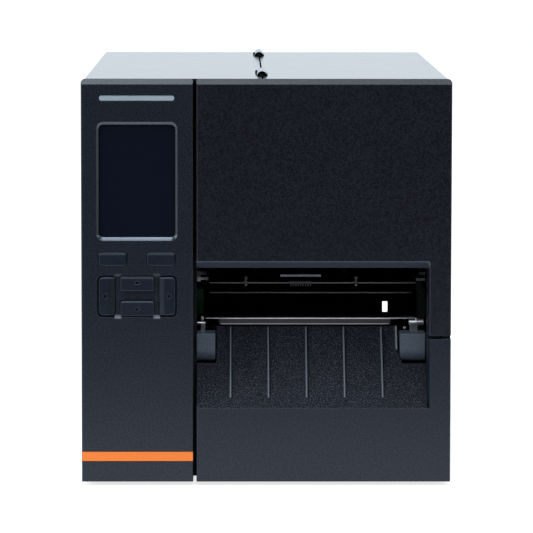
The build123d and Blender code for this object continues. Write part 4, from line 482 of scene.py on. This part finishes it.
class Shape:
    """Mesh of one small piece, built up from turned, rounded and cut forms. Lengths are in metres."""

    def __init__(self):
        self.bm = bmesh.new()

    def band(self, low, high):
        """Faces between two loops of the same count."""
        for index in range(len(low)):
            after = (index + 1) % len(low)
            self.bm.faces.new((low[index], low[after], high[after], high[index]))

    def turned(self, origin, axis, rings, sides=24):
        """Rings from (height, radius); a radius is a number or a function of the angle. Ends are closed."""
        axis = Vector(axis).normalized()
        side = axis.orthogonal().normalized()
        if abs(axis.z) < 0.5:
            side = (Vector((0, 0, 1)) - axis * axis.z).normalized()
        other = axis.cross(side)
        loops = []
        for height, radius in rings:
            loop = []
            for index in range(sides):
                angle = 2 * pi * index / sides
                reach = radius(angle) if callable(radius) else radius
                spot = Vector(origin) + axis * height + (side * cos(angle) + other * sin(angle)) * reach
                loop.append(self.bm.verts.new(spot))
            loops.append(loop)
        for low, high in zip(loops, loops[1:]):
            self.band(low, high)
        self.bm.faces.new(list(reversed(loops[0])))
        self.bm.faces.new(loops[-1])
        return self

    def rod(self, start, end, radius, sides=14):
        """Round bar with rounded ends."""
        start, end = Vector(start), Vector(end)
        length = (end - start).length
        rings = []
        for step in range(END_STEPS + 1):
            angle = pi / 2 * step / END_STEPS
            rings.append((radius * (1 - cos(angle)), max(radius * sin(angle), radius * 0.05)))
        rings += [(length - height, reach) for height, reach in reversed(rings)]
        return self.turned(start, end - start, rings, sides)

    def block(self, low, high, bevel):
        """Block between two corners, its edges rounded."""
        low, high = Vector(low), Vector(high)
        made = bmesh.ops.create_cube(self.bm, size=1.0)["verts"]
        for vert in made:
            vert.co = Vector([low[i] + (vert.co[i] + 0.5) * (high[i] - low[i]) for i in range(3)])
        edges = list({edge for vert in made for edge in vert.link_edges})
        bmesh.ops.bevel(self.bm, geom=edges, offset=bevel, segments=EDGE_SEGMENTS, affect="EDGES")
        return self

    def prism(self, outline, along):
        """Flat outline pushed out along a vector."""
        face = self.bm.faces.new([self.bm.verts.new(Vector(spot)) for spot in outline])
        pushed = bmesh.ops.extrude_face_region(self.bm, geom=[face])["geom"]
        moved = [item for item in pushed if isinstance(item, bmesh.types.BMVert)]
        bmesh.ops.translate(self.bm, vec=Vector(along), verts=moved)
        return self

    def ring(self, loops):
        """Closed ring through four or more loops of the same count."""
        rows = [[self.bm.verts.new(spot) for spot in loop] for loop in loops]
        for low, high in zip(rows, rows[1:] + rows[:1]):
            self.band(low, high)
        return self

    def place(self, name, body, slot, finish):
        bmesh.ops.recalc_face_normals(self.bm, faces=self.bm.faces[:])
        mesh = bpy.data.meshes.new(name)
        self.bm.to_mesh(mesh)
        self.bm.free()
        mesh.materials.append(finish)
        mesh.shade_smooth()
        mesh.set_sharp_from_angle(angle=radians(CREASE_ANGLE))
        piece = bpy.data.objects.new(name, mesh)
        scene.collection.objects.link(piece)
        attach(piece, body)


def rings_mm(*rings):
    """Rings from (height, radius) in millimetres. A radius by angle is in metres already."""
    return [(height * MM, radius if callable(radius) else radius * MM) for height, radius in rings]


def hexagon(reach):
    """Radius of a hexagon by angle, reach across its corners."""
    return lambda angle: reach * cos(pi / 6) / cos((angle + pi / 6) % (pi / 3) - pi / 6)


def cross(arm, half):
    """Radius of a cross by angle, with its arm's reach and half its width."""
    def radius(angle):
        c, s = max(abs(cos(angle)), 1e-6), max(abs(sin(angle)), 1e-6)
        return max(min(arm / c, half / s), min(arm / s, half / c))
    return radius


def spaced(count, pitch):
    """Offsets of evenly spaced copies from their middle."""
    return [(index - (count - 1) / 2) * pitch for index in range(count)]


# Screw head: shares of its height and radius up to the rim of the recess, then the recess's own shares
HEAD_RINGS = ((0, 1), (0.45, 1), (0.75, 0.9), (0.95, 0.72))
ARM_SHARE, HALF_SHARE, FLOOR_SHARE, TAPER_SHARE = 0.55, 0.14, 0.35, 0.8
HEAD_SIDES = 32


def pan_head(shape, origin, axis, reach, height):
    """Low domed screw head with a cross recess."""
    arm, half = ARM_SHARE * reach, HALF_SHARE * reach
    shape.turned(origin, axis, [
        *((up * height, out * reach) for up, out in HEAD_RINGS), (height, cross(arm, half)),
        (FLOOR_SHARE * height, cross(TAPER_SHARE * arm, TAPER_SHARE * half))], HEAD_SIDES)


# Small screws beside the hinge barrels: radius, height, distance left of the pins and from the leaves' ends
HINGE_SCREW = (0.9 * MM, 2.0 * MM)
HINGE_SCREW_LEFT, HINGE_SCREW_FRONT, HINGE_SCREW_BACK = 3.6 * MM, 46 * MM, 23 * MM
screw_black = finish_of("screw_black", (14, 15, 18), 0.34, metal=0.6, specular=0.4, grain=0.004, edge=0.15,
                        wear_and_highlight=0.6, wear_and_highlight_colour=(92, 95, 100))
leaf_lo, leaf_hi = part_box("hinge_leaves_fixed")
pin_lo, pin_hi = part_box("hinge_pins")
leaf_x = (pin_lo.x + pin_hi.x) / 2 - HINGE_SCREW_LEFT
shape = Shape()
for y in (leaf_lo.y + HINGE_SCREW_FRONT, leaf_hi.y - HINGE_SCREW_BACK):
    pan_head(shape, (leaf_x, y, shell_top), (0, 0, 1), *HINGE_SCREW)
shape.place("hinge_screws", "case", "black_steel", screw_black)

# Screws along the foot of both sides and under the base pan, at shares of the panels' sizes
SIDE_SCREW, SIDE_SCREW_LIFT, SIDE_SHARES = (3.2 * MM, 1.25 * MM), 8 * MM, (0.06, 0.5, 0.94)
PAN_SCREW, PAN_SHARES_X, PAN_SHARES_Y = (3.0 * MM, 1.4 * MM), (0.04, 0.36, 0.64, 0.96), (0.05, 0.5, 0.95)
cover_lo, cover_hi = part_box("left_cover")
side_lo, side_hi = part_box("base_side_panel")
pan_lo, pan_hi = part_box("base_pan")
shape = Shape()
for share in SIDE_SHARES:
    y = cover_lo.y + share * (cover_hi.y - cover_lo.y)
    pan_head(shape, (cover_lo.x, y, pan_lo.z + SIDE_SCREW_LIFT), (-1, 0, 0), *SIDE_SCREW)
    pan_head(shape, (side_hi.x, y, pan_lo.z + SIDE_SCREW_LIFT), (1, 0, 0), *SIDE_SCREW)
for share_x in PAN_SHARES_X:
    for share_y in PAN_SHARES_Y:
        x = pan_lo.x + share_x * (pan_hi.x - pan_lo.x)
        y = pan_lo.y + share_y * (pan_hi.y - pan_lo.y)
        pan_head(shape, (x, y, pan_lo.z), (0, 0, -1), *PAN_SCREW)
shape.place("housing_screws", "case", "black_steel", screw_black)

# Flush screws of the rear panel, by their places on it
REAR_FACE = 436
REAR_SCREWS = ((-117, 265), (-60, 265), (10, 265), (-117, 140), (-50, 140), (-117, 8), (-30, 8), (45, 8),
               (117, 8), (117, 90), (10, 90))
SLOT = cross(1.5 * MM, 0.36 * MM)
REAR_SCREW_RINGS = rings_mm((-1.2, 1.4), (-0.1, 2.8), (0.01, 2.8), (0.015, 2.55))
SLOT_RINGS = rings_mm((-0.4, SLOT), (0.025, SLOT))
flush, slots = Shape(), Shape()
for x, z in REAR_SCREWS:
    spot = at(x, REAR_FACE, z)
    flush.turned(spot, (0, 1, 0), REAR_SCREW_RINGS, 28)
    slots.turned(spot, (0, 1, 0), SLOT_RINGS, 40)
flush.place("rear_screws", "case", "black_steel", screw_black)
slots.place("rear_screw_slots", "case", "black_steel", finishes["black_moulding"])

# Front bar of the print head: bead over it and lip under it
dull_steel = finish_of("dull_steel", (116, 112, 108), 0.36, metal=0.7, grain=0.003, wear_and_highlight=0.0, edge=0.1)
dim_steel = finish_of("dim_steel", (92, 88, 86), 0.4, metal=0.6, grain=0.003, wear_and_highlight=0.0, edge=0.1)
BEAD_RADIUS, BEAD_LIFT, BEAD_INSET = 0.5 * MM, 6.8 * MM, 0.1 * MM
LIP_LIFT, LIP_END = 0.1 * MM, 3 * MM
bar_lo, bar_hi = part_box("head_front_bar")
shape = Shape()
shape.rod((bar_lo.x, bar_lo.y + BEAD_INSET, bar_lo.z + BEAD_LIFT),
          (bar_hi.x, bar_lo.y + BEAD_INSET, bar_lo.z + BEAD_LIFT), BEAD_RADIUS)
shape.place("head_bar_bead", "head", "steel", dull_steel)
shape = Shape()
shape.rod((bar_lo.x, bar_lo.y, bar_lo.z + LIP_LIFT), (bar_hi.x - LIP_END, bar_lo.y, bar_lo.z + LIP_LIFT),
          BEAD_RADIUS)
shape.place("head_bar_lip", "head", "steel", dim_steel)

# Guide pins, and the tab that leans off each
PIN_PLACES, PIN_Y, PIN_Z = (-13.7, 61.5), 43.0, 128.0
PIN_RINGS = rings_mm((0, 0.8), (0.5, 1.1), (1.4, 1.1), (1.8, 0.8), (4.6, 0.8), (5.0, 1.25), (6.2, 1.25),
                     (6.8, 0.7))
TAB_LOW, TAB_HIGH, TAB_ROUND = Vector((-2.0, -1.0, 2.0)) * MM, Vector((0.3, 1.0, 3.2)) * MM, 0.2 * MM
shape = Shape()
for x in PIN_PLACES:
    foot = at(x, PIN_Y, PIN_Z)
    shape.turned(foot, (0, 0, 1), PIN_RINGS, 16)
    shape.block(foot + TAB_LOW, foot + TAB_HIGH, TAB_ROUND)
shape.place("head_guide_pins", "head", "black_steel", dim_steel)

# Ribbon clip: x ranges of its two bars, then the ribs across them; depths and heights of both
CLIP_BARS = ((16.5, 22.6), (24.2, 31.2))
BAR_DEPTHS, BAR_HEIGHTS, BAR_ROUND = (44.2, 46.4), (128.9, 131.3), 0.35
RIB_COUNT, RIB_START, RIB_PITCH, RIB_WIDTH = 9, 16.8, 1.65, 0.8
RIB_DEPTHS, RIB_HEIGHTS, RIB_ROUND = (43.2, 45.4), (127.6, 131.5), 0.3
comb = finish_of("comb_moulding", (58, 60, 66), 0.45, specular=0.4, grain=0.004, edge=0.2, wear_and_highlight=0.7,
                 wear_and_highlight_colour=(104, 104, 108))
shape = Shape()
for x0, x1 in CLIP_BARS:
    shape.block(at(x0, BAR_DEPTHS[0], BAR_HEIGHTS[0]), at(x1, BAR_DEPTHS[1], BAR_HEIGHTS[1]), BAR_ROUND * MM)
for index in range(RIB_COUNT):
    x = RIB_START + RIB_PITCH * index
    shape.block(at(x, RIB_DEPTHS[0], RIB_HEIGHTS[0]), at(x + RIB_WIDTH, RIB_DEPTHS[1], RIB_HEIGHTS[1]),
                RIB_ROUND * MM)
shape.place("ribbon_clip", "head", "black_moulding", comb)

# Steel edge of the tear bar
EDGE_RADIUS, EDGE_DROP, EDGE_INSET, EDGE_OVERHANG = 0.55 * MM, 1.05 * MM, 0.25 * MM, 1.4 * MM
tear_lo, tear_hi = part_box("tear_bar")
shape = Shape()
shape.rod((tear_lo.x, tear_lo.y + EDGE_INSET, tear_hi.z - EDGE_DROP),
          (tear_hi.x + EDGE_OVERHANG, tear_lo.y + EDGE_INSET, tear_hi.z - EDGE_DROP), EDGE_RADIUS)
shape.place("tear_edge", "case", "steel", finishes["bright"])

# Nuts on the studs of the two end blocks, by x, z and reach across the corners. Over the hexagon each has
# a crown and the stud's end, by height and share of the reach
NUTS = ((102.4, 104.6, 1.7), (-43.4, 105.9, 1.3))
NUT_Y = 39.6
CROWN = ((1.0, 0.85), (1.1, 0.5), (1.8, 0.5), (2.0, 0.35))
shape = Shape()
for x, z, reach in NUTS:
    nut = hexagon(reach * MM)
    crown = ((height, share * reach) for height, share in CROWN)
    shape.turned(at(x, NUT_Y, z), (0, 0, 1), rings_mm((-1.0, nut), (0.7, nut), *crown), 30)
shape.place("stud_nuts", "case", "bright", finishes["bright"])

# Screw of the right bracket, under the end of the tear bar
BRACKET_SCREW, BRACKET_SCREW_PLACE = (0.95 * MM, 0.7 * MM), (94.6, 43.4, 99.4)
shape = Shape()
pan_head(shape, at(*BRACKET_SCREW_PLACE), (0, -1, 0), *BRACKET_SCREW)
shape.place("bracket_screw", "case", "bright", finishes["bright"])

# Latch plunger in the cover's mouth
PLUNGER_RINGS = rings_mm((-0.6, 2.3), (0.15, 2.3), (0.3, 2.1), (0.32, 1.7), (0.8, 1.4), (1.1, 0.8),
                         (1.2, 0.3))
PLUNGER_PLACE = (109.3, 12.0, 107.2)
shape = Shape()
shape.turned(at(*PLUNGER_PLACE), (-1, 0, 0), PLUNGER_RINGS)
shape.place("latch_plunger", "media_cover", "bright", finishes["bright"])

# Dark arrow inlays in the four direction keys: half their length and width, their depths under the key's
# face, and for each key the share of its width, the shift towards its middle and the way it points
ARROW_ALONG, SIDE_ARROW_ACROSS, UPRIGHT_ARROW_ACROSS = 1.0, 1.85, 2.4
ARROW_FRONT, ARROW_THICK = 0.12 * MM, 0.35 * MM
ARROWS = (("key_left", 0.0, 4.8, (-1, 0)), ("key_right", 1.0, -4.8, (1, 0)), ("key_up", 0.5, 0.8, (0, 1)),
          ("key_down", 0.5, -0.8, (0, -1)))
inlay = finish_of("arrow_ink", (1, 8, 16), 0.5, specular=0.1, speck=0.05, wear_and_highlight=0.0, edge=0.1)
for key, share_x, shift, (dx, dz) in ARROWS:
    lo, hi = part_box(key)
    middle = Vector((lo.x + share_x * (hi.x - lo.x), lo.y, (lo.z + hi.z) / 2))
    if dx:
        middle.x += shift * MM
    else:
        middle.z += shift * MM
    along, across = ARROW_ALONG, UPRIGHT_ARROW_ACROSS if dz else SIDE_ARROW_ACROSS
    outline = [middle + Vector((a * MM, ARROW_FRONT, b * MM)) for a, b in (
        (dx * along, dz * along), (-dx * along - dz * across, -dz * along + dx * across),
        (-dx * along + dz * across, -dz * along - dx * across))]
    shape = Shape().prism(outline, (0, ARROW_THICK, 0))
    shape.place(key + "_arrow", key + "_cap", "black_moulding", inlay)

# Satin bevel and black gasket round the screen, in millimetres: how far the inmost loop lies inside the
# glass, how far the bevel flares out at its sides, foot and top, its corners' radius and growth, its depth
GLASS_INSET, SIDE_FLARE, FOOT_FLARE, TOP_FLARE = 3.0, 2.45, 3.45, 2.9
CORNER_RADIUS, CORNER_GROWTH, BEVEL_DEPTH = 2.2, 2.5, 2.4
CORNER_STEPS = 6
glass_lo, glass_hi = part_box("screen_glass")


def frame_loop(share, lift):
    """Rounded rectangle on the screen's bevel: 0 at the glass, 1 at the panel's face."""
    x0 = glass_lo.x + (GLASS_INSET - share * SIDE_FLARE) * MM
    x1 = glass_hi.x - (GLASS_INSET - share * SIDE_FLARE) * MM
    z0 = glass_lo.z + (GLASS_INSET - share * FOOT_FLARE) * MM
    z1 = glass_hi.z - (GLASS_INSET - share * TOP_FLARE) * MM
    reach = (CORNER_RADIUS + share * CORNER_GROWTH) * MM
    y = at(0, BEVEL_DEPTH * (1 - share) - lift, 0).y
    loop = []
    for cx, cz, start in ((x1 - reach, z1 - reach, 0), (x0 + reach, z1 - reach, 90),
                          (x0 + reach, z0 + reach, 180), (x1 - reach, z0 + reach, 270)):
        for step in range(CORNER_STEPS + 1):
            angle = radians(start + 90 / CORNER_STEPS * step)
            loop.append(Vector((cx + reach * cos(angle), y, cz + reach * sin(angle))))
    return loop


satin = finish_of("satin_bevel", (72, 79, 88), 0.30, metal=1.0, speck=0.05, wear_and_highlight=0.0, edge=0.2)
for name, slot, finish, loops in (
    ("screen_bevel", "dark_moulding", satin,
     ((0.30, -0.25), (0.30, 0.03), (0.34, 0.07), (0.92, 0.07), (0.97, 0.03), (0.97, -0.25))),
    ("screen_gasket", "black_moulding", finishes["black_moulding"],
     ((0.0, -0.02), (0.0, 0.30), (0.06, 0.42), (0.24, 0.22), (0.29, 0.08), (0.29, -0.3))),
):
    Shape().ring([frame_loop(share, lift) for share, lift in loops]).place(name, "case", slot, finish)

# Contacts in the rear ports. Network: eight bent springs. Serial: a row of five pins and one of four
NETWORK_DROP, NETWORK_COUNT, NETWORK_PITCH = 8 * MM, 8, 1.02
SPRING_SIDES, SPRING_DEPTHS, SPRING_RADIUS = (3.6 * MM, 0.6 * MM), (11 * MM, 3 * MM), 0.2 * MM
SERIAL_HEIGHT, SERIAL_ROWS, SERIAL_PITCH = 123.5, ((5, -1.42), (4, 1.42)), 2.77
SERIAL_DEPTHS, SERIAL_RADIUS = (6.2 * MM, 1.0 * MM), 0.5 * MM
gold = finish_of("gold", (212, 170, 98), 0.3, metal=1.0, wear_and_highlight=0.0, speck=0.04)
port_lo, port_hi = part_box("interface_ports")
port_x = (port_lo.x + port_hi.x) / 2
shape = Shape()
for offset in spaced(NETWORK_COUNT, NETWORK_PITCH):
    z = port_hi.z - NETWORK_DROP + offset * MM
    shape.rod((port_x + SPRING_SIDES[0], port_hi.y - SPRING_DEPTHS[0], z),
              (port_x + SPRING_SIDES[1], port_hi.y - SPRING_DEPTHS[1], z), SPRING_RADIUS, 8)
for count, side in SERIAL_ROWS:
    for offset in spaced(count, SERIAL_PITCH):
        x, z = port_x + side * MM, at(0, 0, SERIAL_HEIGHT).z + offset * MM
        shape.rod((x, port_hi.y - SERIAL_DEPTHS[0], z), (x, port_hi.y - SERIAL_DEPTHS[1], z),
                  SERIAL_RADIUS, 10)
shape.place("port_contacts", "case", "brass", gold)

# Tongues of the host and device ports: x and z ranges, how far in they start, rounding; they end together
TONGUES = (((-1.9, -0.1), (173.9, 184.5), 10.2, 0.3), ((-1.6, 1.6), (153.2, 158.8), 9.2, 0.4))
TONGUE_END = 1.2 * MM
port_insert = finish_of("port_insert", (22, 22, 24), 0.5, specular=0.3, wear_and_highlight=0.2)
shape = Shape()
for (x0, x1), (z0, z1), depth, bevel in TONGUES:
    shape.block((port_x + x0 * MM, port_hi.y - depth * MM, at(0, 0, z0).z),
                (port_x + x1 * MM, port_hi.y - TONGUE_END, at(0, 0, z1).z), bevel * MM)
shape.place("port_tongues", "case", "black_moulding", port_insert)

# Hexagon posts over and under the serial port
POST_HEIGHTS = (111.0, 136.0)
POST = hexagon(2.6 * MM)
POST_RINGS = rings_mm((-0.6, POST), (-0.05, POST), (-0.02, 2.1), (-0.03, 1.3), (-0.5, 1.2))
shape = Shape()
for z in POST_HEIGHTS:
    spot = at(0, REAR_FACE, z)
    spot.x = port_x
    shape.turned(spot, (0, 1, 0), POST_RINGS, 30)
shape.place("port_posts", "case", "bright", finishes["steel"])
